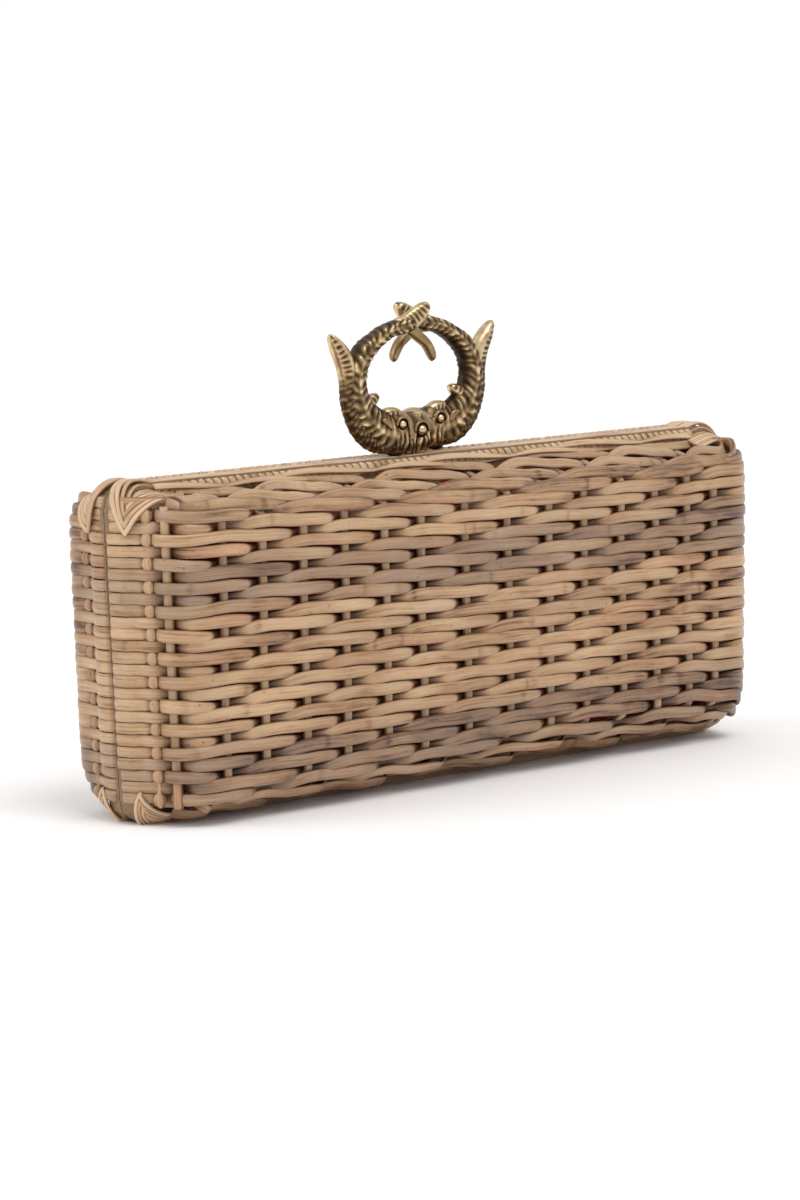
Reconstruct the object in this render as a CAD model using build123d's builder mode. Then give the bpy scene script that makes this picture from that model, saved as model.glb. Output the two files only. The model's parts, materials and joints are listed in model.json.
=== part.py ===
"""Rattan clutch: two woven trays, hinged at the foot, with a brass ring clasp on their rims.

The trays meet rim to rim at the seam plane y = 0. X runs along the bag, the front tray
lies at -Y and Z points up from the surface that the bag stands on. Millimetres.
"""
import os
from math import cos, radians, sin, sqrt

from build123d import *

# Overall tray sizes
LENGTH = 270.0
HEIGHT = 104.5
SHELL_DEPTH = 29.4
FOOT_INSET = 3.25
END_DRAFT = 6.2
TOP_DRAFT = 8.8
BOTTOM_DRAFT = 11.5
OUTLINE_RADIUS = 8.0
BEND_RADIUS = 11.2

# Woven wall
FACE_ROWS = 24
ROW_RELIEF = 1.5
FACE_WALL = 4.2
SIDE_WALL = 4.6
CAVITY_RADIUS = 6.0

# Upright stakes, which show wherever a weaver passes behind them
STAKES = 14
FIRST_STAKE = -112.5
STAKE_PITCH = 17.6
CLOSER_STAKES = 3
CLOSER_BY = 1.6
STAKE_WIDTH = 3.2
WEAVER_TIP = 2.4

# Open work in the top and bottom walls
TOP_GROOVES = 2
BOTTOM_GROOVES = 1
STRAND_SPACING = 6.4
GROOVE_WIDTH = 1.8
GROOVE_DEPTH = 0.9
GAP_LENGTH = 9.0
GAP_WIDTH = 2.2

# Rims
RIM_DEPTH = 7.0
RIM_BAR = 9.0
SEAM_CLEARANCE = 0.15
RIM_RELIEF = 0.7
FOOT_TRIM = 0.4
RIM_OPENING_RADIUS = 5.0
LASHING_PITCH = 7.5
LASHING_LEAN = 28.0
HINGE_BEVEL = 3.0

# Cane wraps at the corners
WRAP_PROUD = 1.3
WRAP_WIDTH = 15.6
WRAP_LENGTH = 19.0
WRAP_CENTRE_DEPTH = 8.2

# Lining
LINING = 0.9
SOFT_CLEARANCE = 0.3

# Butt hinges
HINGE_SPREAD = 150.0
HINGE_LENGTH = 16.0
KNUCKLES = 3
KNUCKLE_RADIUS = 1.7
KNUCKLE_SIDE_PLAY = 0.1
PIN_RADIUS = 0.8
PIN_PLAY = 0.05
PIN_HEAD = 0.5
PIN_HEAD_RADIUS = 1.3
LEAF = 0.8
HINGE_PLAY = 0.3
SCREW_RADIUS = 0.6
SCREW_HEAD_RADIUS = 1.1
SCREW_HEAD = 0.5
SCREW_LENGTH = 4.5
SCREW_SPACING = 9.0

# Catch magnets in the rims
MAGNET_RADIUS = 2.4
MAGNET_DEPTH = 1.8
MAGNET_X = 48.0

# Ring clasp
CLASP_X = -3.0
CLASP_PLANE = 4.0
CLASP_HALF_THICK = 3.7
CLASP_BEVEL = 1.6
LIMB_HALF_THICK = 2.4
STEM_OFFSET = 12.8
STEM_RADIUS = 1.5
STEM_PLAY = 0.05
STEM_TAIL = 0.8
COLLAR_RADIUS = 2.9
COLLAR_HEIGHT = 3.0
BACKING_LENGTH = 30.0
BACKING_WIDTH = 5.6
BACKING = 1.8

# How many flats stand for a small round and for a bend
SMALL_SIDES = 8
PIN_SIDES = 12
KNUCKLE_SIDES = 12
MAGNET_SIDES = 12
BEND_STEPS = 3
WALL_BEND_STEPS = 2

# Sizes that follow from the ones above
ROW_PITCH = (HEIGHT - TOP_DRAFT - BOTTOM_DRAFT) / FACE_ROWS
FACE_LOW = BOTTOM_DRAFT
FACE_HIGH = HEIGHT - TOP_DRAFT
HINGE_Z = HINGE_BEVEL
BARREL_POCKET = KNUCKLE_RADIUS + HINGE_PLAY
SLOPES = ((True, TOP_GROOVES), (False, BOTTOM_GROOVES))
KNUCKLE_LENGTH = HINGE_LENGTH / KNUCKLES


def half_length(z, depth=0.0, inset=0.0):
    """Half of the tray's length at a height and a depth behind the seam."""
    leaning = FOOT_INSET * (1 - z / HEIGHT)
    return LENGTH / 2 - leaning - END_DRAFT * depth / SHELL_DEPTH - inset


def wall_depth(z):
    """How deep the tray is at a height: less where its top and bottom walls slope in."""
    rising = SHELL_DEPTH * z / BOTTOM_DRAFT
    falling = SHELL_DEPTH * (HEIGHT - z) / TOP_DRAFT
    return min(SHELL_DEPTH, rising, falling)


def corner_loss(z):
    """What the rounded corner of the outline takes off each end at a height."""
    near = min(z, HEIGHT - z)
    if near >= OUTLINE_RADIUS:
        return 0.0
    return OUTLINE_RADIUS - sqrt(OUTLINE_RADIUS**2 - (OUTLINE_RADIUS - near) ** 2)


def bore(radius, sides, mode=Mode.ADD):
    """Outline of a hole: a round of flats that all lie at the radius or outside it."""
    RegularPolygon(radius, sides, major_radius=False, mode=mode)


def quarter(middle, radius, start):
    """Points of a quarter turn about a middle, as flats."""
    turns = [radians(start + 90 * step / BEND_STEPS) for step in range(BEND_STEPS + 1)]
    return [(middle[0] + radius * cos(turn), middle[1] + radius * sin(turn)) for turn in turns]


def end_outline(depth, inset, radius, low, high):
    """Outline in a plane parallel to the seam, between two heights, its corners turned."""
    foot = half_length(low, depth, inset)
    top = half_length(high, depth, inset)
    right = [
        *quarter((foot - radius, low + radius), radius, -90),
        *quarter((top - radius, high - radius), radius, 0),
    ]
    left = [(-x, z) for x, z in reversed(right)]
    with BuildSketch(Plane.XZ.offset(depth)) as outline:
        Polygon(*right, *left, align=None)
    return outline.sketch


def tray_outline(depth, inset, radius):
    """Outline of the tray at a depth: all its walls lean in towards the face."""
    low = BOTTOM_DRAFT * depth / SHELL_DEPTH + inset
    high = HEIGHT - TOP_DRAFT * depth / SHELL_DEPTH - inset
    return end_outline(depth, inset, radius, low, high)


def rim_outline(depth, inset, radius):
    """Outline of the rim at a depth, before its foot is trimmed flat at z = 0."""
    return end_outline(depth, inset, radius, inset - FOOT_TRIM, HEIGHT - inset)


def bend_points(z, inset):
    """The bend between the right end wall and the face, seen from above, at a height."""
    depth = wall_depth(z) - inset
    radius = BEND_RADIUS * depth / SHELL_DEPTH
    loss = inset + corner_loss(z)
    start = half_length(z, depth - radius, loss)
    centre = half_length(z, depth, loss) - radius
    steps = [radians(90) * step / WALL_BEND_STEPS for step in range(WALL_BEND_STEPS + 1)]
    return [
        (centre + (start - centre) * cos(turn), -(depth - radius + radius * sin(turn)))
        for turn in steps
    ]


def row_outline(z, inset):
    """Outline of the tray seen from above, at a height, as a face."""
    right = [(half_length(z, 0.0, inset + corner_loss(z)), 0.0)] + bend_points(z, inset)
    left = [(-x, y) for x, y in reversed(right)]
    with BuildSketch(Plane.XY.offset(z)) as outline:
        Polygon(*right, *left, align=None)
    return outline.sketch.face()


def row_levels():
    """Heights and insets of the outlines from the foot to the top of a tray."""
    first = BOTTOM_DRAFT * RIM_DEPTH / SHELL_DEPTH
    last = HEIGHT - TOP_DRAFT * RIM_DEPTH / SHELL_DEPTH
    levels = [(first, 0.0), ((first + FACE_LOW) / 2, 0.0)]
    for row in range(FACE_ROWS):
        levels.append((FACE_LOW + row * ROW_PITCH, ROW_RELIEF if row else 0.0))
        levels.append((FACE_LOW + (row + 0.5) * ROW_PITCH, 0.0))
    levels.append((FACE_HIGH, 0.0))
    levels.append(((last + FACE_HIGH) / 2, 0.0))
    levels.append((last, 0.0))
    return levels


def stake_x(stake):
    """Place of a stake along the face; the last ones stand closer together."""
    late = max(0, stake - (STAKES - 1 - CLOSER_STAKES))
    return FIRST_STAKE + STAKE_PITCH * stake - CLOSER_BY * late


def shows_stake(row, stake):
    """Over two stakes, under one; the gap moves one stake right with each row up."""
    return (stake - row) % 3 == 2


def slope_plane(at_top):
    """Plane on the sloping top or bottom wall, its y axis running down the slope."""
    drop = TOP_DRAFT if at_top else -BOTTOM_DRAFT
    edge = HEIGHT if at_top else 0.0
    middle = (RIM_DEPTH + SHELL_DEPTH) / 2
    down = Vector(0, -SHELL_DEPTH, -drop)
    outward = Vector(1, 0, 0).cross(down) * (-1 if at_top else 1)
    origin = (0, -middle, edge - drop * middle / SHELL_DEPTH)
    return Plane(origin=origin, x_dir=(1, 0, 0), z_dir=outward)


def window_points():
    """Plan of a window: the stake's flat at the back, weavers tapering in at both sides."""
    stake = STAKE_WIDTH / 2
    mouth = stake + WEAVER_TIP
    outer = [(mouth, 0), (mouth, -1), (-mouth, -1), (-mouth, 0)]
    return [(-stake, ROW_RELIEF), (stake, ROW_RELIEF), *outer]


def groove_points(width, depth):
    """A V groove, its mouth on the x axis."""
    return [(-width / 2, 0), (width / 2, 0), (0, depth)]


def diamond_points(length, width):
    """A diamond about the origin, its length along x."""
    return [(-length / 2, 0), (0, -width / 2), (length / 2, 0), (0, width / 2)]


# Front basket: rows of weavers stacked from the foot to the top
with BuildPart() as front_basket:
    loft(sections=[row_outline(z, inset) for z, inset in row_levels()], ruled=True)
    split(bisect_by=Plane.XZ.offset(RIM_DEPTH), keep=Keep.TOP)
    # Windows in the face where a weaver passes behind a stake
    for row in range(FACE_ROWS):
        with BuildSketch(Plane.XY.offset(FACE_LOW + row * ROW_PITCH)):
            for stake in range(STAKES):
                if shows_stake(row, stake):
                    with Locations((stake_x(stake), -SHELL_DEPTH)):
                        Polygon(*window_points(), align=None)
    extrude(amount=ROW_PITCH, mode=Mode.SUBTRACT)
    # Grooves between the strands of the sloping walls
    for at_top, grooves in SLOPES:
        wall = slope_plane(at_top)
        with BuildSketch(Plane(origin=wall.origin, x_dir=wall.y_dir, z_dir=wall.x_dir)):
            with GridLocations(STRAND_SPACING, 1, grooves, 1):
                Polygon(*groove_points(GROOVE_WIDTH, -GROOVE_DEPTH), align=None)
    extrude(amount=LENGTH / 2, both=True, mode=Mode.SUBTRACT)
    # Pocket for the things carried
    loft(
        sections=[
            tray_outline(RIM_DEPTH, SIDE_WALL, CAVITY_RADIUS),
            tray_outline(SHELL_DEPTH - FACE_WALL, SIDE_WALL, CAVITY_RADIUS),
        ],
        ruled=True,
        mode=Mode.SUBTRACT,
    )
    # Open gaps between the strands, midway between the stakes
    for at_top, grooves in SLOPES:
        with BuildSketch(slope_plane(at_top)):
            for stake in range(STAKES - 1):
                middle = (stake_x(stake) + stake_x(stake + 1)) / 2
                with Locations((middle, 0)):
                    with GridLocations(1, STRAND_SPACING, 1, grooves):
                        Polygon(*diamond_points(GAP_LENGTH, GAP_WIDTH), align=None)
    extrude(amount=SIDE_WALL * 1.5, both=True, mode=Mode.SUBTRACT)
front_basket.part.label = "front_basket"

with BuildPart() as back_basket:
    add(front_basket.part, rotation=(0, 0, 180))
back_basket.part.label = "back_basket"


def bevel_points():
    """The strip under the hinge line that a rim loses so that it can swing a quarter turn."""
    outer = [(0, -1), (-1, -1), (-1, HINGE_Z)]
    return [(SEAM_CLEARANCE, HINGE_Z), (SEAM_CLEARANCE + HINGE_BEVEL, 0), *outer]


def hinge_places():
    """Middle of each hinge along the seam."""
    return [-HINGE_SPREAD / 2, HINGE_SPREAD / 2]


def screw_places():
    """Screws of both hinges, as (x, z) on the seam plane."""
    height = (HINGE_Z + BARREL_POCKET + RIM_BAR) / 2
    shifts = (-SCREW_SPACING / 2, SCREW_SPACING / 2)
    return [(x + shift, height) for x in hinge_places() for shift in shifts]


# A plane across the bag, its x axis pointing to the front, for sections along the seam
ACROSS = Plane(origin=(0, 0, 0), x_dir=(0, -1, 0), z_dir=(-1, 0, 0))

# Rim, without the hole for its clasp
with BuildPart() as rim_blank:
    loft(
        sections=[
            rim_outline(SEAM_CLEARANCE, 0.0, OUTLINE_RADIUS),
            rim_outline(RIM_DEPTH, 0.0, OUTLINE_RADIUS),
        ],
        ruled=True,
    )
    split(bisect_by=Plane.XY, keep=Keep.TOP)
    # Mouth of the bag
    with BuildSketch(Plane.XZ):
        add(end_outline(0.0, RIM_BAR, RIM_OPENING_RADIUS, RIM_BAR, HEIGHT - RIM_BAR))
    extrude(amount=RIM_DEPTH * 2, mode=Mode.SUBTRACT)
    # Lashing over the top bar
    lashes = int((LENGTH - 4 * OUTLINE_RADIUS) / LASHING_PITCH)
    lean = radians(LASHING_LEAN)
    with BuildSketch(Plane.XZ):
        with Locations((0, HEIGHT)):
            with GridLocations(LASHING_PITCH, 1, lashes, 1):
                Polygon(*groove_points(2 * RIM_RELIEF, -RIM_RELIEF), align=None)
    extrude(amount=2 * RIM_DEPTH, dir=(sin(lean), -cos(lean), 0), mode=Mode.SUBTRACT)
    # Bevel below the hinge line
    with BuildSketch(ACROSS):
        Polygon(*bevel_points(), align=None)
    extrude(amount=LENGTH, both=True, mode=Mode.SUBTRACT)
    # Pockets for the hinge barrels and leaves
    for x in hinge_places():
        with BuildSketch(Plane.YZ.offset(x)):
            with Locations((0, HINGE_Z)):
                bore(BARREL_POCKET, KNUCKLE_SIDES)
    extrude(amount=HINGE_LENGTH / 2 + PIN_HEAD + HINGE_PLAY, both=True, mode=Mode.SUBTRACT)
    with BuildSketch(Plane.XZ):
        for x in hinge_places():
            with Locations((x, HINGE_Z)):
                Rectangle(HINGE_LENGTH, RIM_BAR, align=(Align.CENTER, Align.MIN))
    extrude(amount=SEAM_CLEARANCE + LEAF, mode=Mode.SUBTRACT)
    # Pilot holes for the screws
    with BuildSketch(Plane.XZ):
        with Locations(*screw_places()):
            RegularPolygon(SCREW_RADIUS, SMALL_SIDES)
    extrude(amount=SEAM_CLEARANCE + SCREW_LENGTH, mode=Mode.SUBTRACT)
    # Pockets for the catch magnets
    with BuildSketch(Plane.XZ):
        with Locations((-MAGNET_X, HEIGHT - RIM_BAR / 2), (MAGNET_X, HEIGHT - RIM_BAR / 2)):
            RegularPolygon(MAGNET_RADIUS, MAGNET_SIDES)
    extrude(amount=SEAM_CLEARANCE + MAGNET_DEPTH, mode=Mode.SUBTRACT)


def stem_x(side):
    """Where a clasp's stem stands: side -1 is the front one, on the left, and 1 the back one."""
    return CLASP_X + side * STEM_OFFSET


def bored_rim(side, turn, name):
    """A rim with the hole for its clasp's stem through the top bar."""
    with BuildPart() as rim:
        add(rim_blank.part, rotation=(0, 0, turn))
        with BuildSketch(Plane.XY.offset(HEIGHT)):
            with Locations((stem_x(side), side * CLASP_PLANE)):
                bore(STEM_RADIUS + STEM_PLAY, PIN_SIDES)
        extrude(amount=-RIM_BAR, mode=Mode.SUBTRACT)
    rim.part.label = name
    return rim.part


front_rim = bored_rim(-1, 0, "front_rim")
back_rim = bored_rim(1, 180, "back_rim")

# Lining: a thin tray of cloth inside each basket
LINING_INSET = SIDE_WALL + SOFT_CLEARANCE
LINING_BACK = SHELL_DEPTH - FACE_WALL - SOFT_CLEARANCE
with BuildPart() as front_lining:
    loft(
        sections=[
            tray_outline(RIM_DEPTH + SOFT_CLEARANCE, LINING_INSET, CAVITY_RADIUS),
            tray_outline(LINING_BACK, LINING_INSET, CAVITY_RADIUS),
        ],
        ruled=True,
    )
    loft(
        sections=[
            tray_outline(RIM_DEPTH, LINING_INSET + LINING, CAVITY_RADIUS - LINING),
            tray_outline(LINING_BACK - LINING, LINING_INSET + LINING, CAVITY_RADIUS - LINING),
        ],
        ruled=True,
        mode=Mode.SUBTRACT,
    )
front_lining.part.label = "front_lining"

with BuildPart() as back_lining:
    add(front_lining.part, rotation=(0, 0, 180))
back_lining.part.label = "back_lining"


def leaning(amount, side, mode):
    """Extrudes the pending outline away from the seam along the lean of one end wall."""
    lean = Vector(-side * END_DRAFT / SHELL_DEPTH, -1, 0)
    extrude(amount=amount * lean.length, dir=lean, mode=mode)


def keep_across(points):
    """Keeps what lies in a profile seen along the bag: distance behind the seam, height."""
    with BuildSketch(ACROSS) as profile:
        Polygon(*points, align=None)
    extrude(profile.sketch, amount=LENGTH, both=True, mode=Mode.INTERSECT)


def basket_corner(side, at_top):
    """The part of the front basket that a corner wrap lies on, without its relief."""
    middle = HEIGHT / 2
    drop = TOP_DRAFT if at_top else -BOTTOM_DRAFT
    edge = HEIGHT if at_top else 0.0
    levels = [z for z, inset in row_levels() if z >= FACE_HIGH or z <= FACE_LOW]
    heights = [z for z in levels if (z > middle) == at_top]
    ring = [(side * half_length(z, RIM_DEPTH, corner_loss(z)), z) for z in sorted([*heights, middle])]
    ring += [(0, ring[-1][1]), (0, ring[0][1])]
    with BuildPart() as corner:
        with BuildSketch(Plane.XZ.offset(RIM_DEPTH)):
            Polygon(*ring, align=None)
        leaning(SHELL_DEPTH, side, Mode.ADD)
        slope = [(RIM_DEPTH, edge - drop * RIM_DEPTH / SHELL_DEPTH), (SHELL_DEPTH, edge - drop)]
        keep_across([*slope, (SHELL_DEPTH, middle), (RIM_DEPTH, middle)])
    return corner.part


def corner_wrap(side, at_top):
    """Cane wound over one corner of the front tray and its rim: a leaf-shaped saddle."""
    level = 1 if at_top else -1
    edge = HEIGHT if at_top else 0.0
    drop = TOP_DRAFT if at_top else -BOTTOM_DRAFT
    reach = OUTLINE_RADIUS * (1 - sqrt(0.5))
    far = WRAP_CENTRE_DEPTH + WRAP_WIDTH / 2
    end = half_length(edge, WRAP_CENTRE_DEPTH) - reach
    corner = (side * end, -WRAP_CENTRE_DEPTH, edge - level * reach)
    diagonal = Plane(origin=corner, x_dir=(side, 0, -level), z_dir=(side, 0, level))
    tip = edge - drop * far / SHELL_DEPTH + level * WRAP_PROUD / 2
    if at_top:
        ridge = [(SEAM_CLEARANCE, HEIGHT + WRAP_PROUD), (RIM_DEPTH, HEIGHT + WRAP_PROUD)]
    else:
        ridge = [(SEAM_CLEARANCE, HINGE_Z), (SEAM_CLEARANCE + HINGE_BEVEL, 0), (RIM_DEPTH, 0)]
    with BuildPart() as wrap:
        with BuildSketch(Plane.XZ):
            add(rim_outline(0.0, -WRAP_PROUD, OUTLINE_RADIUS + WRAP_PROUD))
        leaning(far, side, Mode.ADD)
        with BuildSketch(diagonal):
            Polygon(*diamond_points(WRAP_LENGTH, WRAP_WIDTH), align=None)
        extrude(amount=WRAP_LENGTH, both=True, mode=Mode.INTERSECT)
        keep_across([*ridge, (far, tip), (far, HEIGHT / 2), (SEAM_CLEARANCE, HEIGHT / 2)])
        with BuildSketch(Plane.XZ):
            add(rim_outline(0.0, 0.0, OUTLINE_RADIUS))
        leaning(RIM_DEPTH, side, Mode.SUBTRACT)
        add(basket_corner(side, at_top), mode=Mode.SUBTRACT)
    return wrap.part


front_wraps = []
for side, side_name in ((-1, "left"), (1, "right")):
    for at_top, level_name in ((True, "top"), (False, "bottom")):
        wrap = corner_wrap(side, at_top)
        wrap.label = f"front_wrap_{level_name}_{side_name}"
        front_wraps.append(wrap)

back_wraps = []
for wrap in front_wraps:
    with BuildPart() as turned:
        add(wrap, rotation=(0, 0, 180))
    ends = {"left": "right", "right": "left"}
    level_name, side_name = wrap.label.split("_")[2:]
    turned.part.label = f"back_wrap_{level_name}_{ends[side_name]}"
    back_wraps.append(turned.part)


def hinge_leaves(side, name):
    """The leaves of both butt hinges with their knuckles: side -1 lies on the front rim."""
    own = [0] if side < 0 else [-1, 1]
    seat = side * (SEAM_CLEARANCE + LEAF)
    face = side * SEAM_CLEARANCE
    barrel_top = HINGE_Z + BARREL_POCKET
    knuckle = KNUCKLE_LENGTH - 2 * KNUCKLE_SIDE_PLAY
    knuckles = [x + step * KNUCKLE_LENGTH for x in hinge_places() for step in own]
    with BuildPart() as leaves:
        with BuildSketch(Plane.XY.offset(barrel_top)):
            for x in hinge_places():
                with Locations((x, (seat + face) / 2)):
                    Rectangle(HINGE_LENGTH, LEAF)
        extrude(amount=RIM_BAR - barrel_top)
        with BuildSketch(Plane.XY.offset(HINGE_Z)):
            for x in knuckles:
                with Locations((x, (seat + face) / 2)):
                    Rectangle(knuckle, LEAF)
        extrude(amount=BARREL_POCKET)
        for x in knuckles:
            with BuildSketch(Plane.YZ.offset(x)):
                with Locations((0, HINGE_Z)):
                    RegularPolygon(KNUCKLE_RADIUS, KNUCKLE_SIDES)
        extrude(amount=knuckle / 2, both=True)
        with BuildSketch(Plane.YZ):
            with Locations((0, HINGE_Z)):
                bore(PIN_RADIUS + PIN_PLAY, PIN_SIDES)
        extrude(amount=LENGTH / 2, both=True, mode=Mode.SUBTRACT)
        # Screw holes with room for the heads
        with BuildSketch(Plane.XZ):
            with Locations(*screw_places()):
                RegularPolygon(SCREW_RADIUS, SMALL_SIDES)
        extrude(amount=-side * RIM_DEPTH, mode=Mode.SUBTRACT)
        with BuildSketch(Plane.XZ):
            with Locations(*screw_places()):
                RegularPolygon(SCREW_HEAD_RADIUS, SMALL_SIDES)
        extrude(amount=-side * (SEAM_CLEARANCE + SCREW_HEAD), mode=Mode.SUBTRACT)
    leaves.part.label = name
    return leaves.part


# Pins of the hinges, headed at both ends
with BuildPart() as hinge_pins:
    for x in hinge_places():
        with BuildSketch(Plane.YZ.offset(x)):
            with Locations((0, HINGE_Z)):
                RegularPolygon(PIN_RADIUS, PIN_SIDES)
    extrude(amount=HINGE_LENGTH / 2, both=True)
    for x in hinge_places():
        for end in (-1, 1):
            with BuildSketch(Plane.YZ.offset(x + end * HINGE_LENGTH / 2)):
                with Locations((0, HINGE_Z)):
                    RegularPolygon(PIN_HEAD_RADIUS, SMALL_SIDES)
            extrude(amount=end * PIN_HEAD)
hinge_pins.part.label = "hinge_pins"


def screws(side, name):
    """The four countersunk screws of one row of leaves."""
    with BuildPart() as fasteners:
        with BuildSketch(Plane.XZ.offset(-side * SEAM_CLEARANCE)):
            with Locations(*screw_places()):
                RegularPolygon(SCREW_HEAD_RADIUS, SMALL_SIDES)
        extrude(amount=-side * SCREW_HEAD)
        with BuildSketch(Plane.XZ.offset(-side * (SEAM_CLEARANCE + SCREW_HEAD))):
            with Locations(*screw_places()):
                RegularPolygon(SCREW_RADIUS, SMALL_SIDES)
        extrude(amount=-side * (SCREW_LENGTH - SCREW_HEAD))
    fasteners.part.label = name
    return fasteners.part


def magnets(side, name):
    """The pair of catch magnets of one rim, flush with its face."""
    with BuildPart() as discs:
        with BuildSketch(Plane.XZ.offset(-side * SEAM_CLEARANCE)):
            with Locations((-MAGNET_X, HEIGHT - RIM_BAR / 2), (MAGNET_X, HEIGHT - RIM_BAR / 2)):
                RegularPolygon(MAGNET_RADIUS, MAGNET_SIDES)
        extrude(amount=-side * MAGNET_DEPTH)
    discs.part.label = name
    return discs.part


small_parts = [
    hinge_leaves(-1, "front_hinge_leaves"),
    hinge_leaves(1, "back_hinge_leaves"),
    hinge_pins.part,
    screws(-1, "front_hinge_screws"),
    screws(1, "back_hinge_screws"),
    magnets(-1, "front_catch_magnets"),
    magnets(1, "back_catch_magnets"),
]

# Stations of one clasp figure: how far out from the ring's middle, how high above the rim,
# and the half width there. The body runs from the head, round the side, to the tail.
BODY = [
    (-3.5, 7.6, 4.4),
    (2.0, 7.4, 6.2),
    (9.0, 7.5, 6.8),
    (17.0, 8.1, 7.0),
    (23.0, 10.3, 7.0),
    (28.0, 15.0, 6.3),
    (30.5, 21.0, 5.4),
    (30.3, 27.5, 5.0),
    (26.8, 33.2, 4.1),
    (20.6, 37.6, 3.1),
    (14.3, 40.3, 2.9),
    (8.0, 41.3, 2.9),
    (3.5, 41.9, 2.6),
]
UPPER_TAIL = [(6.0, 41.8, 2.6), (1.0, 44.6, 2.2), (-1.2, 46.4, 1.6), (-2.4, 48.0, 0.6)]
LOWER_TAIL = [(6.0, 40.9, 2.0), (1.2, 37.7, 1.8), (-2.3, 35.0, 1.6), (-4.4, 31.6, 1.3), (-4.6, 29.4, 0.6)]
HORN = [(31.0, 22.0, 3.0), (34.6, 30.5, 2.9), (37.8, 36.2, 2.0), (40.4, 40.2, 0.6)]
BROW = [(26.5, 17.0, 2.6), (19.8, 20.2, 0.9)]


def limb_ring(stations):
    """Outline of one limb of a clasp figure, as (out, height) points in a ring."""
    last = len(stations) - 1
    outer = []
    inner = []
    for index, (out, height, half) in enumerate(stations):
        before = stations[max(index - 1, 0)]
        after = stations[min(index + 1, last)]
        run = Vector(after[0] - before[0], after[1] - before[1]).normalized()
        outer.append((out + run.Y * half, height - run.X * half))
        inner.append((out - run.Y * half, height + run.X * half))
    return outer + inner[::-1]


def inset_ring(ring, amount):
    """A ring with each edge moved inwards by an amount, its corners mitred."""
    moved = []
    for before, here, after in zip(ring[-1:] + ring[:-1], ring, ring[1:] + ring[:1]):
        arriving = (Vector(*here) - Vector(*before)).normalized()
        leaving = (Vector(*after) - Vector(*here)).normalized()
        mitre = Vector(-arriving.Y - leaving.Y, arriving.X + leaving.X)
        share = amount / (1 + arriving.dot(leaving))
        moved.append((here[0] + mitre.X * share, here[1] + mitre.Y * share))
    return moved


def limb(stations, side, half_thick, bevel):
    """One limb of a clasp figure: a plate, its edges bevelled on both faces."""
    ring = limb_ring(stations)
    middle = -side * CLASP_PLANE
    outlines = []
    for level, inset in ((-half_thick, bevel), (bevel - half_thick, 0.0)):
        points = [(CLASP_X + side * out, HEIGHT + height) for out, height in inset_ring(ring, inset)]
        for shift in (level, -level):
            with BuildSketch(Plane.XZ.offset(middle + shift)) as outline:
                Polygon(*points, align=None)
            outlines.append(outline.sketch)
    near, far, near_flat, far_flat = outlines
    if bevel:
        loft(sections=[near, near_flat, far_flat, far], ruled=True)
    else:
        loft(sections=[near, far], ruled=True)


def clasp_figure(side, name):
    """One half of the ring clasp with its collar and stem."""
    foot = HEIGHT - RIM_BAR - BACKING - STEM_TAIL
    with BuildPart() as figure:
        limb(BODY, side, CLASP_HALF_THICK, CLASP_BEVEL)
        for stations in (UPPER_TAIL, LOWER_TAIL, HORN, BROW):
            limb(stations, side, LIMB_HALF_THICK, 0.0)
        with BuildSketch(Plane.XY.offset(HEIGHT)):
            with Locations((stem_x(side), side * CLASP_PLANE)):
                RegularPolygon(COLLAR_RADIUS, SMALL_SIDES)
        extrude(amount=COLLAR_HEIGHT)
        with BuildSketch(Plane.XY.offset(foot)):
            with Locations((stem_x(side), side * CLASP_PLANE)):
                RegularPolygon(STEM_RADIUS, PIN_SIDES)
        extrude(amount=HEIGHT + COLLAR_HEIGHT - foot)
    figure.part.label = name
    return figure.part


def backing_bar(side, name):
    """Threaded bar under the rim that draws a clasp figure down."""
    with BuildPart() as bar:
        with BuildSketch(Plane.XY.offset(HEIGHT - RIM_BAR)):
            with Locations((stem_x(side), side * CLASP_PLANE)):
                Rectangle(BACKING_LENGTH, BACKING_WIDTH)
                bore(STEM_RADIUS + STEM_PLAY, PIN_SIDES, Mode.SUBTRACT)
        extrude(amount=-BACKING)
    bar.part.label = name
    return bar.part


clasp_parts = []
for side, name in ((-1, "front"), (1, "back")):
    clasp_parts.append(clasp_figure(side, f"{name}_clasp_figure"))
    clasp_parts.append(backing_bar(side, f"{name}_clasp_backing"))

pieces = [
    front_basket.part,
    back_basket.part,
    front_rim,
    back_rim,
    front_lining.part,
    back_lining.part,
    *front_wraps,
    *back_wraps,
    *small_parts,
    *clasp_parts,
]

os.makedirs("parts", exist_ok=True)
for piece in pieces:
    export_step(piece, f"parts/{piece.label}.step")
    print(piece.label, round(piece.volume, 1), piece.is_valid, len(piece.solids()))
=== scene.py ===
# %% [markdown]
# # A rattan clutch with a brass ring clasp
#
# The bag is two trays woven from rattan peel, hinged at the foot, with a cast clasp on their rims.
# The CAD part gives the bodies, the hinge and a plain solid for each piece, and this script dresses
# them. A pattern on smooth walls would have no depth at its edges, so every strand is modelled,
# along a path that is worked out from the tray's sizes.

# %% Imports
import json
import math
from types import SimpleNamespace

import bpy
import numpy as np
from mathutils import Matrix, Vector

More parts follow.
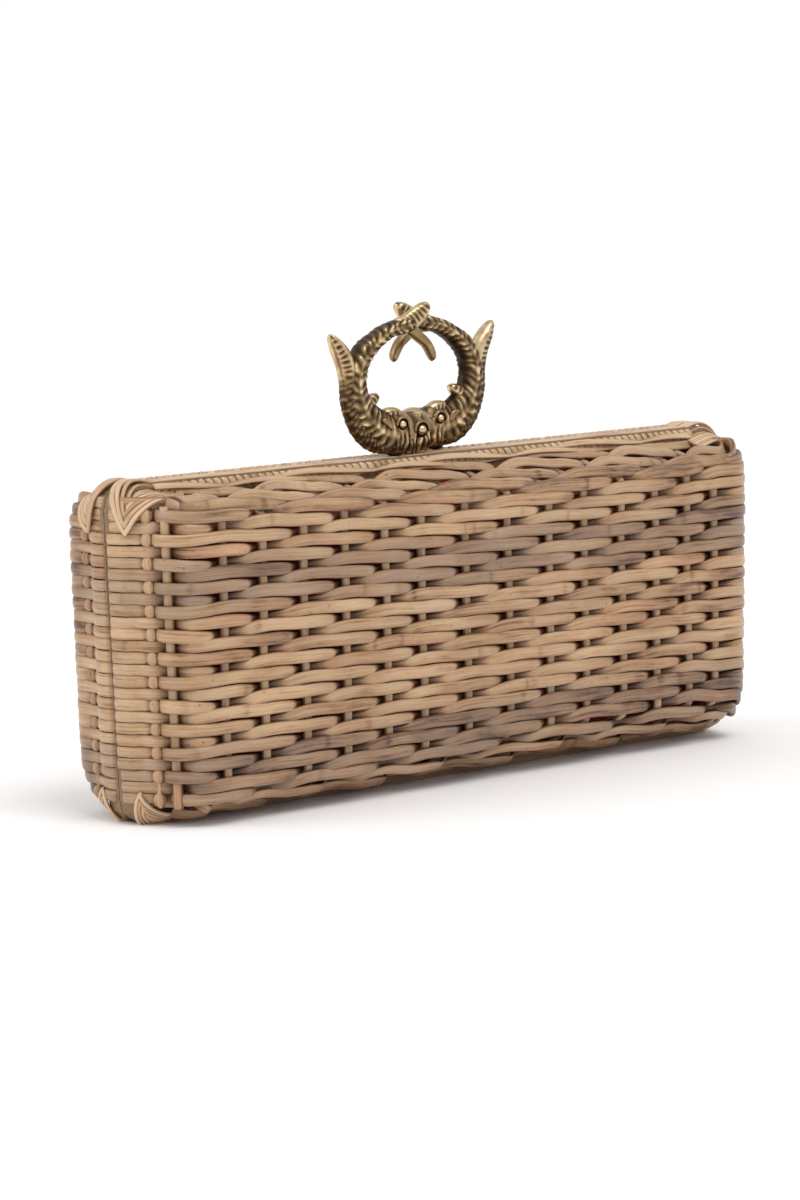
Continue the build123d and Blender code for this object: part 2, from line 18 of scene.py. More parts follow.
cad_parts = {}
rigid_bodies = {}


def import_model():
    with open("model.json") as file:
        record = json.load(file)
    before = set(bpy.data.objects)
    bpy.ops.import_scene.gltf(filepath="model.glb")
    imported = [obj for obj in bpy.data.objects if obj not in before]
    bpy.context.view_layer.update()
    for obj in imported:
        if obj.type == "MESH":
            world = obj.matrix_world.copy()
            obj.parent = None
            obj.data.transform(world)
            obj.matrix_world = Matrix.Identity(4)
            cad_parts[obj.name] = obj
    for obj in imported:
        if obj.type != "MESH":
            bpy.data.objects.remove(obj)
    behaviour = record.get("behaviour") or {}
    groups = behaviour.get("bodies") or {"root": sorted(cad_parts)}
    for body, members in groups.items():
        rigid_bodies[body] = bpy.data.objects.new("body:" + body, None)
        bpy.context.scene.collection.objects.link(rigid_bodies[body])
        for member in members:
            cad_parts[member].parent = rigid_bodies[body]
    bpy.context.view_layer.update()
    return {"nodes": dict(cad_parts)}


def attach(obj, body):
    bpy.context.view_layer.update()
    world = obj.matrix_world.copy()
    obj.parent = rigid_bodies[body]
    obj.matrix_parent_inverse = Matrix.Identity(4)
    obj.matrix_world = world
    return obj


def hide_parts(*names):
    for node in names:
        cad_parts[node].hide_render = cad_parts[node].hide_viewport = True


print("Blender", bpy.app.version_string)

# %% [markdown]
# ## The frame
# Loading the part gives its nodes by name.

# %% Load the frame
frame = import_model()
nodes = frame["nodes"]
print("nodes:", len(nodes))

# %% [markdown]
# ## Sizes
# Lengths are in millimetres here, and turn into metres when a mesh is made. The front tray lies
# at -Y and its rim meets the other one at y = 0. "Depth" is the distance behind that seam, and
# the "skin" is the smooth surface round the tray that the weave just reaches.

# %% Tray sizes
MM = 0.001
LENGTH = 270.0
HEIGHT = 104.5
SHELL_DEPTH = 29.4
RIM_DEPTH = 7.0
OUTLINE_RADIUS = 8.0
print("tray:", LENGTH, "x", SHELL_DEPTH, "x", HEIGHT, "mm")

# %% [markdown]
# ## Helpers for numbers
# Strands, stakes and limbs are lines of points, with sizes and tones that rise and fall along
# them. Short functions say so in words.


# %% Numbers along a line
def unit(vectors):
    """Vectors at a length of one."""
    return vectors / np.linalg.norm(vectors, axis=-1, keepdims=True)


def heading(points):
    """The direction at each point of a line."""
    return unit(np.gradient(points, axis=0))


def run_along(points):
    """How far along its line each point lies."""
    return np.concatenate([[0.0], np.cumsum(np.linalg.norm(np.diff(points, axis=0), axis=1))])


def rise(value, start, end):
    """0 up to start, 1 from end on, and straight in between."""
    return np.clip((value - start) / (end - start), 0, 1)


def soften(share):
    """Rounds off both ends of a rise."""
    return share * share * (3 - 2 * share)


def wander(rng, places, size, wavelength):
    """A slow random wave along a strand."""
    total = np.zeros(len(places))
    for share in (1.0, 0.6, 0.35):
        phase = rng.uniform(0, 2 * np.pi)
        total += share * np.sin(2 * np.pi * np.asarray(places) / (wavelength * share) + phase)
    return size * total / 1.95


print("a softened rise:", soften(rise(np.arange(5.0), 0, 4)).round(2))

# %% [markdown]
# ## Helpers for colours and nodes
# Colours are written as they look on a screen and turned to linear light by one function.
# Another adds a shader node with its settings in one line.


# %% Colours and nodes
def colour(text):
    """Linear RGBA from a screen colour such as #C9A878."""
    channels = [int(text[i : i + 2], 16) / 255 for i in (1, 3, 5)]
    linear = [c / 12.92 if c <= 0.04045 else ((c + 0.055) / 1.055) ** 2.4 for c in channels]
    return (*linear, 1.0)


def feed(tree, node, inputs):
    """Gives a node's inputs, by name or number, a value or a link from another socket."""
    for name, value in dict(inputs).items():
        if isinstance(value, bpy.types.NodeSocket):
            tree.links.new(value, node.inputs[name])
        else:
            node.inputs[name].default_value = value


def add_node(tree, kind, inputs=(), **settings):
    """Adds a shader node with its settings and inputs."""
    node = tree.nodes.new("ShaderNode" + kind)
    for name, value in settings.items():
        setattr(node, name, value)
    feed(tree, node, inputs)
    return node


def new_material(name):
    """An empty node material and its principled shader."""
    material = bpy.data.materials.new(name)
    material.use_nodes = True
    tree = material.node_tree
    return material, tree, tree.nodes["Principled BSDF"]


def ramp(tree, factor, stops):
    """A colour ramp with (place, screen colour) stops."""
    node = add_node(tree, "ValToRGB", {"Fac": factor})
    elements = node.color_ramp.elements
    while len(elements) < len(stops):
        elements.new(0.5)
    for element, (place, text) in zip(elements, stops):
        element.position = place
        element.color = colour(text)
    return node.outputs["Color"]


def attribute(tree, name):
    """The value that a mesh stores under a name."""
    return add_node(tree, "Attribute", attribute_name=name).outputs["Fac"]


def maths(tree, operation, first, second=0.0, third=0.0, clamp=False):
    """One sum on values or sockets."""
    inputs = {0: first, 1: second, 2: third}
    return add_node(tree, "Math", inputs, operation=operation, use_clamp=clamp).outputs[0]


def scaled(tree, value, amount, start=0.0, clamp=False):
    """A value times an amount, plus a start."""
    return maths(tree, "MULTIPLY_ADD", value, amount, start, clamp)


def mix(tree, factor, first, second, blend="MIX"):
    """Mixes two colours."""
    node = add_node(tree, "Mix", {0: factor, 6: first, 7: second}, data_type="RGBA", blend_type=blend)
    return node.outputs[2]


def add_bump(tree, shader, height, strength, distance):
    """Lets a height pattern tilt the surface; the distance is in metres."""
    bump = add_node(tree, "Bump", {"Strength": strength, "Distance": distance, "Height": height})
    tree.links.new(bump.outputs["Normal"], shader.inputs["Normal"])


print("straw in linear light:", [round(channel, 3) for channel in colour("#CDAE88")[:3]])

# %% [markdown]
# ## Bundles of strands
# A strand of peel is a flat strip with a rounded face. Curves with a bevel could make it, but as
# dozens of objects, and without a value for each point. So a bundle collects many tubes into one
# mesh. Each point keeps where it lies along and round its strand, in metres, and its tone, and
# one material can then draw fibres that follow every strand.

# %% Meshes and the strand bundle
VALUES = ("along", "around", "tone", "grey", "sunk", "side", "seed")
NOISE_SHIFT = 400.0


def tube_faces(first, amount, sides, order=1):
    """Faces of rings that make a closed tube; an order of -1 turns them inside out."""
    here = first + np.arange(amount - 1)[:, None] * sides + np.arange(sides)
    after = here + np.append(np.ones(sides - 1, int), 1 - sides)
    quads = np.stack([here, after, after + sides, here + sides], axis=-1)
    ends = (range(first, first + sides), range(here[-1, 0] + sides, here[-1, 0] + 2 * sides))
    caps = [list(ring)[::way] for ring, way in zip(ends, (-order, order))]
    return quads.reshape(-1, 4)[:, ::order].tolist() + caps


def make_mesh(name, points, faces, material, values=None):
    """A smooth mesh object from points in metres, with its stored values."""
    mesh = bpy.data.meshes.new(name)
    mesh.from_pydata(np.asarray(points).tolist(), [], faces)
    mesh.validate()
    for key, parts in (values or {}).items():
        layer = mesh.attributes.new(key, "FLOAT", "POINT")
        layer.data.foreach_set("value", np.concatenate(parts).astype(np.float32))
    mesh.polygons.foreach_set("use_smooth", [True] * len(mesh.polygons))
    mesh.materials.append(material)
    piece = bpy.data.objects.new(name, mesh)
    bpy.context.scene.collection.objects.link(piece)
    return piece


class Bundle:
    """Tubes of a flattened round section, joined into one mesh."""

    def __init__(self, seed):
        self.rng = np.random.default_rng(seed)
        self.points = []
        self.faces = []
        self.values = {key: [] for key in VALUES}
        self.count = 0

    def tube(self, centres, outward, half_side, half_out, tone, grey=0, sunk=0, sides=12, square=2.5):
        """Adds one tube. Outward points away from the tray; sizes and tones may vary along it."""
        centres = np.asarray(centres, float)
        amount = len(centres)
        ahead = heading(centres)
        side = unit(np.cross(ahead, outward))
        out = np.cross(side, ahead)
        turn = np.linspace(-np.pi, np.pi, sides, endpoint=False)
        lift = np.sign(np.cos(turn)) * np.abs(np.cos(turn)) ** (2 / square)
        slide = np.sign(np.sin(turn)) * np.abs(np.sin(turn)) ** (2 / square)
        half_side, half_out, tone, grey, sunk = (
            np.broadcast_to(value, amount)[:, None] for value in (half_side, half_out, tone, grey, sunk)
        )
        rings = centres[:, None, :] + out[:, None, :] * (half_out * lift)[:, :, None]
        rings = rings + side[:, None, :] * (half_side * slide)[:, :, None]
        self.points.append(rings.reshape(-1, 3))
        strand_seed = self.rng.uniform(0, 1)
        own = (
            (run_along(centres)[:, None] + NOISE_SHIFT * strand_seed) * MM,
            turn * 0.5 * (half_side + half_out) * MM,
            tone,
            grey,
            sunk,
            np.abs(np.sin(turn)),
            strand_seed,
        )
        for key, value in zip(VALUES, own):
            self.values[key].append(np.broadcast_to(value, (amount, sides)).ravel())
        self.faces += tube_faces(self.count, amount, sides)
        self.count += amount * sides

    def build(self, name, material, turned=False):
        """Makes the mesh object; turned swings it half a turn about Z, onto the back tray."""
        points = np.concatenate(self.points) * MM
        if turned:
            points = points * np.array([-1.0, -1.0, 1.0])
        return make_mesh(name, points, self.faces, material, self.values)


print("values of each point:", ", ".join(VALUES))

# %% [markdown]
# ## The tray's skin
# Seen from above, a row of weaving starts in the seam, runs along one end wall, turns round a
# wide bend, crosses the face and goes back to the seam in the same way. The end walls lean in.
# The path is worked out, not traced by hand, so that each row fits the solid tray.

# %% The path of a row
FOOT_INSET = 3.25
END_DRAFT = 6.2
BEND_RADIUS = 11.2
SEAM_TURN = 2.7
SEAM_GAP = 0.6
PATH_STEP = 0.5


def half_length(z, depth):
    """Half of the tray's length at a height and a depth behind the seam."""
    return LENGTH / 2 - FOOT_INSET * (1 - z / HEIGHT) - END_DRAFT * depth / SHELL_DEPTH


def half_path(depth, z):
    """Right half of a row seen from above, as (x, depth) points from the middle to the seam."""
    radius = BEND_RADIUS * depth / SHELL_DEPTH
    flat = half_length(z, depth) - radius
    start = half_length(z, depth - radius)
    points = [(x, depth) for x in np.arange(0.0, flat, PATH_STEP)]
    for turn in np.radians(np.arange(90, 0, -5)):
        points.append((flat + (start - flat) * math.cos(turn), depth - radius + radius * math.sin(turn)))
    points += [(half_length(z, d), d) for d in np.arange(depth - radius, SEAM_TURN, -PATH_STEP)]
    last = half_length(z, SEAM_TURN)
    tight = SEAM_TURN - SEAM_GAP
    for turn in np.radians(np.arange(0, 91, 10)):
        points.append((last - tight * (1 - math.cos(turn)), SEAM_TURN - tight * math.sin(turn)))
    return points


def row_path(depth, z, step):
    """A whole row seen from above at even steps: points, outward directions and run lengths."""
    right = np.array(half_path(depth, z))
    left = right[1:][::-1] * np.array([-1.0, 1.0])
    points = np.concatenate([left, right])
    run = run_along(points)
    even = np.linspace(0.0, run[-1], int(run[-1] / step) + 1)
    points = np.stack([np.interp(even, run, points[:, i]) for i in (0, 1)], axis=1)
    ahead = heading(points)
    return points, np.stack([-ahead[:, 1], ahead[:, 0]], axis=1), even


print("one row from seam to seam:", round(row_path(SHELL_DEPTH, HEIGHT / 2, 1.0)[2][-1]), "mm")

# %% [markdown]
# ## Where the rows lie
# The rows of the real face bow and are not all alike, which straight lines would lose. So their
# heights are given at six places, as measured in the photo. A few open rows lie on the slopes
# between the face and the rim: 0 is at the shoulder of the face and 1 at the rim.

# %% Heights of the rows
SHOULDER_AT = (-120.0, 0.0, 120.0)
TOP_SHOULDER = (97.0, 94.2, 94.2)
FOOT_SHOULDER = (9.5, 13.0, 12.5)
RIM_TOP_EDGE = 100.4
RIM_FOOT_EDGE = 2.0
ROWS_AT = (-111.0, -60.0, -7.0, 47.0, 96.0, 110.0)
FIRST_ROW = (15.8, 17.2, 18.7, 19.9, 20.0, 19.0)
ROW_22 = (91.4, 90.6, 88.9, 88.7, 89.5, 90.7)
FACE_ROWS = range(0, 24)
TOP_ROWS = {24: 0.08, 25: 0.30, 26: 0.58, 27: 0.88}
FOOT_ROWS = {-1: 0.05, -2: 0.33, -3: 0.62, -4: 0.90}
TOP_BULGE = 0.8
FOOT_BULGE = -3.0


def row_shape(row):
    """How far a row lies up or down its slope, its depth, and its height over x."""
    if row in FACE_ROWS:
        slope, share, bulge, at, start, end = 0.0, (row - 1) / 21, 0.0, ROWS_AT, FIRST_ROW, ROW_22
    else:
        is_top = row in TOP_ROWS
        slope = share = TOP_ROWS[row] if is_top else FOOT_ROWS[row]
        bulge = (TOP_BULGE if is_top else FOOT_BULGE) * math.sin(math.pi * share)
        at, start = SHOULDER_AT, TOP_SHOULDER if is_top else FOOT_SHOULDER
        end = [RIM_TOP_EDGE if is_top else RIM_FOOT_EDGE] * len(at)

    def height(x):
        low = np.interp(x, at, start)
        return low + (np.interp(x, at, end) - low) * share + bulge

    return slope, SHELL_DEPTH + (RIM_DEPTH - SHELL_DEPTH) * slope + 0.4 * abs(bulge), height


print("rows:", len(FOOT_ROWS), "below,", len(FACE_ROWS), "on the face,", len(TOP_ROWS), "above")

# %% [markdown]
# ## Over two, under one
# A strand passes over two stakes and behind the third, and each row starts one stake later. On
# the left end, rows go by turns behind the stake in the bend and the one on the end wall. The
# right bend has no stake. Between its stakes a strand eases from one level to the next, and
# strays a little up or down, so that its neighbours close over the place where it dives.

# %% Levels of a strand
STAKES = (-111.0, -94.8, -77.6, -60.1, -42.6, -26.9, -7.3, 11.9, 30.6, 47.1, 64.8, 81.1, 96.5, 109.8)
END_LEFT, BEND_LEFT, END_RIGHT = -2, -1, len(STAKES) + 1
BEND_STAKE_DEPTH = 20.5
END_STAKE_DEPTH = 14.3

# Where a strand's middle lies below the skin, and how it dives: (reach, hold, edge level, level)
OVER_LEVEL = -1.05
BEHIND_LEVEL = -4.9
FACE_DIVE = (9.0, 1.5, OVER_LEVEL - 0.3, BEHIND_LEVEL)
END_DIVE = (3.8, 1.2, OVER_LEVEL, -3.0)
CREST = 0.15
WAVES = (-0.7, 1.0, 0.15)


def on_face_stake(stake):
    """Whether a stake's number is one of the upright face's."""
    return 0 <= stake < len(STAKES)


def is_behind(row, stake):
    """Whether a row passes behind a stake."""
    if on_face_stake(stake):
        return (stake - row) % 3 == 2
    return row % 2 == (0 if stake == BEND_LEFT else 1)


def crossings(points, run):
    """Where a row crosses each stake, as (run length, stake number), from left to right."""
    middle = len(points) // 2
    end, bend = np.interp((END_STAKE_DEPTH, BEND_STAKE_DEPTH), points[:middle, 1], run[:middle])
    face = [(np.interp(x, points[:, 0], run), stake) for stake, x in enumerate(STAKES)]
    return [(end, END_LEFT), (bend, BEND_LEFT), *face, (run[-1] - end, END_RIGHT)]


def eased(places, at, levels):
    """Smooth steps between levels that are given at rising places."""
    at = np.asarray(at)
    levels = np.asarray(levels)
    index = np.clip(np.searchsorted(at, places) - 1, 0, len(at) - 2)
    share = soften(rise(places, at[index], at[index + 1]))
    return levels[index] + (levels[index + 1] - levels[index]) * share


def strand_levels(row, found, run, wave):
    """How far a strand lies below the skin, and how far it strays up or down its wall."""
    levels, waves = [(0.0, OVER_LEVEL)], [(0.0, 0.0)]
    for place, stake in found:
        on_end = stake in (END_LEFT, END_RIGHT)
        if is_behind(row, stake):
            reach, hold, edge, deep = END_DIVE if on_end else FACE_DIVE
            start = place - reach if on_end else max(place - reach, levels[-1][0] + 0.2)
            levels += [(start, edge), (place - hold, deep), (place + hold, deep), (place + reach, edge)]
        else:
            levels.append((place, OVER_LEVEL if on_end else OVER_LEVEL + CREST))
        waves.append((place, wave * WAVES[(stake - row - 2) % 3] if on_face_stake(stake) else 0.0))
    levels.append((run[-1], OVER_LEVEL))
    waves.append((run[-1], 0.0))
    return eased(run, *zip(*levels)), eased(run, *zip(*waves))


print("row 5 passes behind stakes", [stake for stake in range(len(STAKES)) if is_behind(5, stake)])

# %% [markdown]
# ## The line of a row
# On the end walls the rows lie level and evenly, and on the face they follow their heights. The
# rows near a corner draw in, because the tray is rounded there. The open rows of the slopes lean
# with their wall, and the outer ones of them end short, tucked under the corner wraps.

# %% Placing one row
STRAND_STEP = 1.3
END_ROW_ONE = 15.8
END_ROW_PITCH = 3.62
END_LOWEST, END_HIGHEST = 7.4, 99.3
CORNER_INSET = {22: 0.5, 23: 1.6, 24: 3.4, 25: 4.6, 1: 0.4, 0: 1.4, -1: 2.8, -2: 4.0}
CORNER_FROM, CORNER_TO = 106.0, 124.0
OPEN_FROM = 0.2
SHORT_FROM = 0.45
SHORT_BY = 4.0
TUCK_LENGTH, TUCK_DEPTH = 12.0, 3.0
SLOPE_LEAN = 0.55
RIM_LEVEL = 0.85
RIM_LEVEL_DEPTH = 9.5
UNDER_WRAP = 0.45
DIVE_TAPER = 6.6


def place_row(rng, row):
    """The line of one row, and where along it the strand is near a dive or sunk."""
    share, depth, height = row_shape(row)
    base_z = float(height(0.0))
    points, outward, run = row_path(depth, base_z, STRAND_STEP)
    found = crossings(points, run)
    level, stray = strand_levels(row, found, run, 0.85 + 1.6 * min(share / 0.3, 1.0))
    x, behind = points.T
    drawn = soften(rise(np.abs(x), CORNER_FROM, CORNER_TO) * rise(behind, 8.0, 16.0))
    x = x - np.sign(x) * CORNER_INSET.get(row, 0.0) * drawn
    on_face = soften(rise(behind, 0.72 * depth, depth))
    end_z = min(max(END_ROW_ONE + END_ROW_PITCH * (row - 1), END_LOWEST), END_HIGHEST)
    centres = np.stack([x, -behind, height(x) * on_face + end_z * (1 - on_face)], axis=1)
    tilt = SLOPE_LEAN * math.atan2(SHELL_DEPTH - RIM_DEPTH, 7.0) * min(share / OPEN_FROM, 1.0)
    lean = (tilt if row > 0 else -tilt) * on_face
    out = np.stack([outward[:, 0] * np.cos(lean), -outward[:, 1] * np.cos(lean), np.sin(lean)], axis=1)
    up = np.cross(out, heading(centres))
    up *= np.sign(up[:, 2:3] + 1e-9)
    if share < SHORT_FROM:
        on_rim = soften(rise(behind, RIM_LEVEL_DEPTH, RIM_LEVEL_DEPTH - 3.0))
        lift = (RIM_LEVEL - OVER_LEVEL) * (1.0 if 1 < row < 22 else UNDER_WRAP)
        level = level + lift * on_rim
    if row in (-2, 25):
        level = level - 0.9 * (1 - on_face)
    level = level + wander(rng, run, 0.12, 60.0)
    stray = stray + wander(rng, run, 0.16 + 0.2 * share, 75.0)
    keep = np.full(len(x), True)
    if share > SHORT_FROM:
        reach = half_length(base_z, depth) - SHORT_BY
        keep = np.abs(x) < reach
        level = level - TUCK_DEPTH * rise(np.abs(x), reach - TUCK_LENGTH, reach) ** 2
    dives = [place for place, stake in found if is_behind(row, stake) and on_face_stake(stake)]
    to_dive = np.min(np.abs(run[:, None] - np.array(dives)), axis=1)
    line = SimpleNamespace(x=x, behind=behind, run=run, base_z=base_z, keep=keep, out=out)
    line.is_open = share > OPEN_FROM
    line.centres = centres + out * level[:, None] + up * stray[:, None]
    line.sunk = rise(level, OVER_LEVEL, BEHIND_LEVEL)
    line.near_dive = np.exp(-((to_dive / DIVE_TAPER) ** 2))
    return line


print("row 5 has", len(place_row(np.random.default_rng(0), 5).run), "places")

# %% [markdown]
# ## One strand of peel
# Peel is cut by hand, so each strand has its own width and tone, and both wander along it. It
# narrows where it dives behind a stake. Now and then the ring of a joint in the cane crosses it.
# Two bands of rows are weathered to a mauve grey, as on the real bag. On the end walls the rows
# are given a lighter tone, as painted light, and towards the right of the face a darker one, as painted
# shade.

# %% Weaving one row
STRAND_HALF_WIDTH = 1.95
STRAND_HALF_THICK = 1.05
# Lighter tone that the end walls' rows are drawn to: painted light.
END_WALL_PAINTED_LIGHT_TONE = 0.82
JOINT_RINGS = 3


def grey_share(rng, z, x):
    """How mauve and weathered a strand is at a height of the wall."""
    upper = 0.75 * math.exp(-(((z - 72.5) / 7.5) ** 4))
    lower = 0.9 * math.exp(-(((z - 18.0) / 9.0) ** 4))
    own = rng.uniform(0.55, 1.15)
    return np.clip(max(upper, lower) * own + 0.06 + wander(rng, x, 0.22, 120.0), 0, 1)


def weave_row(bundle, row):
    """Adds one row of weaving."""
    rng = bundle.rng
    line = place_row(rng, row)
    on_end = rise(line.behind, 18.0, 12.0)
    size = rng.uniform(0.95, 1.06) * (0.86 if line.is_open else 1.0)
    width = STRAND_HALF_WIDTH * size * (1 + wander(rng, line.run, 0.05, 45.0))
    width = width * (1.04 - 0.52 * line.near_dive) * (1 - 0.09 * on_end)
    thick = STRAND_HALF_THICK * size * (0.78 + 0.22 * rise(line.behind, 0.0, 14.0))
    if line.is_open:
        width = width * (1.16 - 0.24 * line.near_dive)
        thick = thick * 0.68
    tone = rng.uniform(0.33, 0.82) + wander(rng, line.run, 0.22, 70.0)
    # Painted shade: the tone falls towards the right of the face.
    tone = tone - 0.13 * rise(line.x, 30.0, 110.0)
    # Painted light: the rows on the end walls are drawn towards a lighter tone.
    tone = tone + 0.6 * (END_WALL_PAINTED_LIGHT_TONE - tone) * on_end
    for place in rng.uniform(0, line.run[-1], JOINT_RINGS):
        ring = np.exp(-((line.run - place) ** 2))
        tone = tone - 0.3 * ring
        width = width * (1 + 0.07 * ring)
    grey = grey_share(rng, line.base_z, line.x) * (1 - 0.35 * on_end)
    # Mask for painted shade: the sunk stretches and the last turn into the seam.
    sunk = np.maximum(line.sunk, 0.9 * rise(line.behind, 1.9, 0.7))
    parts = (line.centres, line.out, width, thick, tone, grey, sunk)
    bundle.tube(*(part[line.keep] for part in parts))


print("strand:", 2 * STRAND_HALF_WIDTH, "x", 2 * STRAND_HALF_THICK, "mm")

# %% [markdown]
# ## Stakes
# The stakes are round canes that the strands are woven round. They run from the rim down the top
# wall, the face and the bottom wall to the foot, a little below the skin. On the end walls the
# stake shows between every second row, where it swells into a knot.

# %% Stakes and the whole weave
STAKE_HALF_WIDTH = 1.65
STAKE_HALF_THICK = 1.2
STAKE_LEVEL = -2.9
END_STAKE_LEVEL = -1.6
KNOT_HALF_HEIGHT = 2.0


def face_stake(bundle, x):
    """Adds one stake that follows the tray's section at x."""
    top, foot = (float(np.interp(x, SHOULDER_AT, heights)) for heights in (TOP_SHOULDER, FOOT_SHOULDER))
    rim = ((RIM_DEPTH, RIM_TOP_EDGE), (RIM_DEPTH, RIM_FOOT_EDGE))
    corners = [rim[0], (SHELL_DEPTH, top), (SHELL_DEPTH, foot), rim[1]]
    section = []
    for start, end in zip(corners, corners[1:]):
        steps = max(int(math.dist(start, end) / 1.5), 2)
        section += [np.array(start) + (np.array(end) - start) * i / steps for i in range(steps)]
    section = np.array(section)
    kernel = np.ones(5) / 5
    padded = np.pad(section, ((2, 2), (0, 0)), "edge")
    section = np.stack([np.convolve(padded[:, i], kernel, "valid") for i in (0, 1)], axis=1)
    ahead = heading(section)
    normal = np.stack([-ahead[:, 1], ahead[:, 0]], axis=1)
    section = section + normal * STAKE_LEVEL
    sway = wander(bundle.rng, section[:, 1], 0.35, 80.0)
    centres = np.stack([x + sway, -section[:, 0], section[:, 1]], axis=1)
    out = np.stack([np.zeros(len(centres)), -normal[:, 0], normal[:, 1]], axis=1)
    tone = bundle.rng.uniform(0.45, 0.8)
    bundle.tube(centres, out, STAKE_HALF_WIDTH, STAKE_HALF_THICK, tone, 0.05, sides=10, square=2.2)


def end_stake(bundle, side, depth):
    """Adds one upright stake in an end wall, with knots, or in its bend."""
    is_knotted = depth == END_STAKE_DEPTH
    heights = np.arange(6.0, 99.0, 0.35 if is_knotted else 1.2)
    level = END_STAKE_LEVEL if is_knotted else STAKE_LEVEL
    centres = []
    out = []
    for z in heights:
        points, outward, run = row_path(SHELL_DEPTH, z, 2.0)
        middle = len(points) // 2
        place = np.interp(depth, points[:middle, 1], run[:middle])
        here, away = (np.array([np.interp(place, run, part) for part in way.T]) for way in (points, outward))
        away = unit(away)
        here = here + away * level
        centres.append((-side * here[0], -here[1], z))
        out.append((-side * away[0], -away[1], 0.0))
    half_side, half_out = STAKE_HALF_WIDTH, STAKE_HALF_THICK
    if is_knotted:
        from_row = (heights - END_ROW_ONE + END_ROW_PITCH) % (2 * END_ROW_PITCH) - END_ROW_PITCH
        swell = np.sqrt(np.clip(1 - (from_row / KNOT_HALF_HEIGHT) ** 2, 0, 1))
        half_side, half_out = 0.8 + 1.2 * swell, 0.6 + 1.35 * swell
    tone = bundle.rng.uniform(0.5, 0.75)
    bundle.tube(centres, out, half_side, half_out, tone, 0.05, sides=10, square=2.2)


def weave_tray(name, seed, material, turned):
    """All rows of one tray as one piece and all its stakes as another."""
    rows = Bundle(seed)
    for row in (*sorted(FOOT_ROWS), *FACE_ROWS, *sorted(TOP_ROWS)):
        weave_row(rows, row)
    stakes = Bundle(seed + 1)
    for x in STAKES:
        face_stake(stakes, x)
    for side, depth in ((-1, BEND_STAKE_DEPTH), (-1, END_STAKE_DEPTH), (1, END_STAKE_DEPTH)):
        end_stake(stakes, side, depth)
    weave = rows.build(f"{name}_weave", material, turned)
    upright = stakes.build(f"{name}_stakes", material, turned)
    print(weave.name, len(weave.data.polygons), "faces;", upright.name, len(upright.data.polygons))
    return weave, upright


print("stakes on a face:", len(STAKES), "about", round((STAKES[-1] - STAKES[0]) / 13, 1), "mm apart")

# %% [markdown]
# ## Rattan material
# Peel is glossy and straw to tan, with fibre lines along each strand and some mauve-grey
# weathered stretches. The lines are noise, stretched along the strand: fibres 22 mm by 0.4 mm,
# streaks 33 mm by 1.2 mm. A strand's cut sides are darker, and its sunk parts and its turns into
# the seam are darkened as painted shade. Flat noise on the whole wall would run straight on from
# strand to strand, so the stored places steer it.


# %% Rattan peel
def rattan(name, light="#CDAE88", middle="#A9845F", dark="#5E3F29", weathered="#967B66"):
    """Glossy rattan peel whose fibres follow each strand."""
    material, tree, shader = new_material(name)
    along, around, tone, grey, sunk, side, seed = (attribute(tree, key) for key in VALUES)

    def streaks(along_scale, around_scale, seed_scale, detail):
        """Noise stretched along the strand; the scales are in cells per metre."""
        scales = ((along, along_scale), (around, around_scale), (seed, seed_scale))
        place = {i: maths(tree, "MULTIPLY", *pair) for i, pair in enumerate(scales)}
        vector = add_node(tree, "CombineXYZ", place).outputs[0]
        noise = {"Vector": vector, "Scale": 1.0, "Detail": detail, "Roughness": 0.6}
        return add_node(tree, "TexNoise", noise).outputs["Fac"]

    def with_swings(value, swings):
        """A value plus the swing of each noise to both sides of nothing."""
        for noise, amount in swings:
            value = maths(tree, "ADD", value, scaled(tree, noise, amount, -0.5 * amount))
        return value

    def darkened(peel, text):
        """The peel's colour times another."""
        return mix(tree, 1.0, peel, colour(text), "MULTIPLY")

    fibre = streaks(45.0, 2600.0, 60.0, 3.0)
    streak = streaks(30.0, 850.0, 90.0, 3.0)
    patch = streaks(110.0, 330.0, 35.0, 3.0)
    speck = streaks(420.0, 1500.0, 20.0, 1.0)
    blush = streaks(14.0, 120.0, 300.0, 2.0)
    shade = with_swings(tone, ((patch, 0.85), (fibre, 1.1), (streak, 1.4)))
    peel = ramp(tree, shade, [(0.0, dark), (0.42, middle), (1.0, light)])
    pink = scaled(tree, blush, 2.2, -0.99, clamp=True)
    peel = mix(tree, pink, peel, darkened(peel, "#F3D3C8"))
    mauve = scaled(tree, with_swings(grey, ((streak, 1.6), (patch, 1.0))), 0.85, clamp=True)
    peel = mix(tree, mauve, peel, ramp(tree, shade, [(0.0, "#56433A"), (0.9, weathered)]))
    spot = scaled(tree, speck, 7.0, -4.9, clamp=True)
    peel = mix(tree, spot, peel, colour("#5A4030"))
    # Darker cut sides of the peel, and painted shade on the sunk stretches and the turns into the seam,
    # mixed in with #85634E.
    cut = scaled(tree, side, 4.0, -3.2, clamp=True)
    cut_edge_and_painted_shade = maths(tree, "MAXIMUM", cut, scaled(tree, sunk, 0.9))
    peel = mix(tree, cut_edge_and_painted_shade, peel, darkened(peel, "#85634E"))
    feed(tree, shader, {"Base Color": peel, "Roughness": scaled(tree, streak, 0.35, 0.14)})
    add_bump(tree, shader, maths(tree, "MULTIPLY_ADD", fibre, 0.4, streak), 0.85, 0.0004)
    return material


PEEL = rattan("glossy rattan peel")
CANE = rattan("flat rattan cane", light="#E4CBA7", middle="#C8A47C", dark="#8C6B4B")
front_weave, front_stakes = weave_tray("front", 11, PEEL, False)
back_weave, back_stakes = weave_tray("back", 23, PEEL, True)

# %% [markdown]
# ## Rims
# Each rim is a bar of cane. The front one has smooth flat strips along its top, a fine lashing
# along its outer edge and two strands that bind it to the weave. The back one is wound with two
# wide canes, whose turns lean. Real coils are used, so that the rim's outline is notched too.

# %% Rim cane
RIM_REACH = 121.0
BACK_STARTS = 2
BACK_PITCH = 7.0
BINDER_WAVE = 62.0


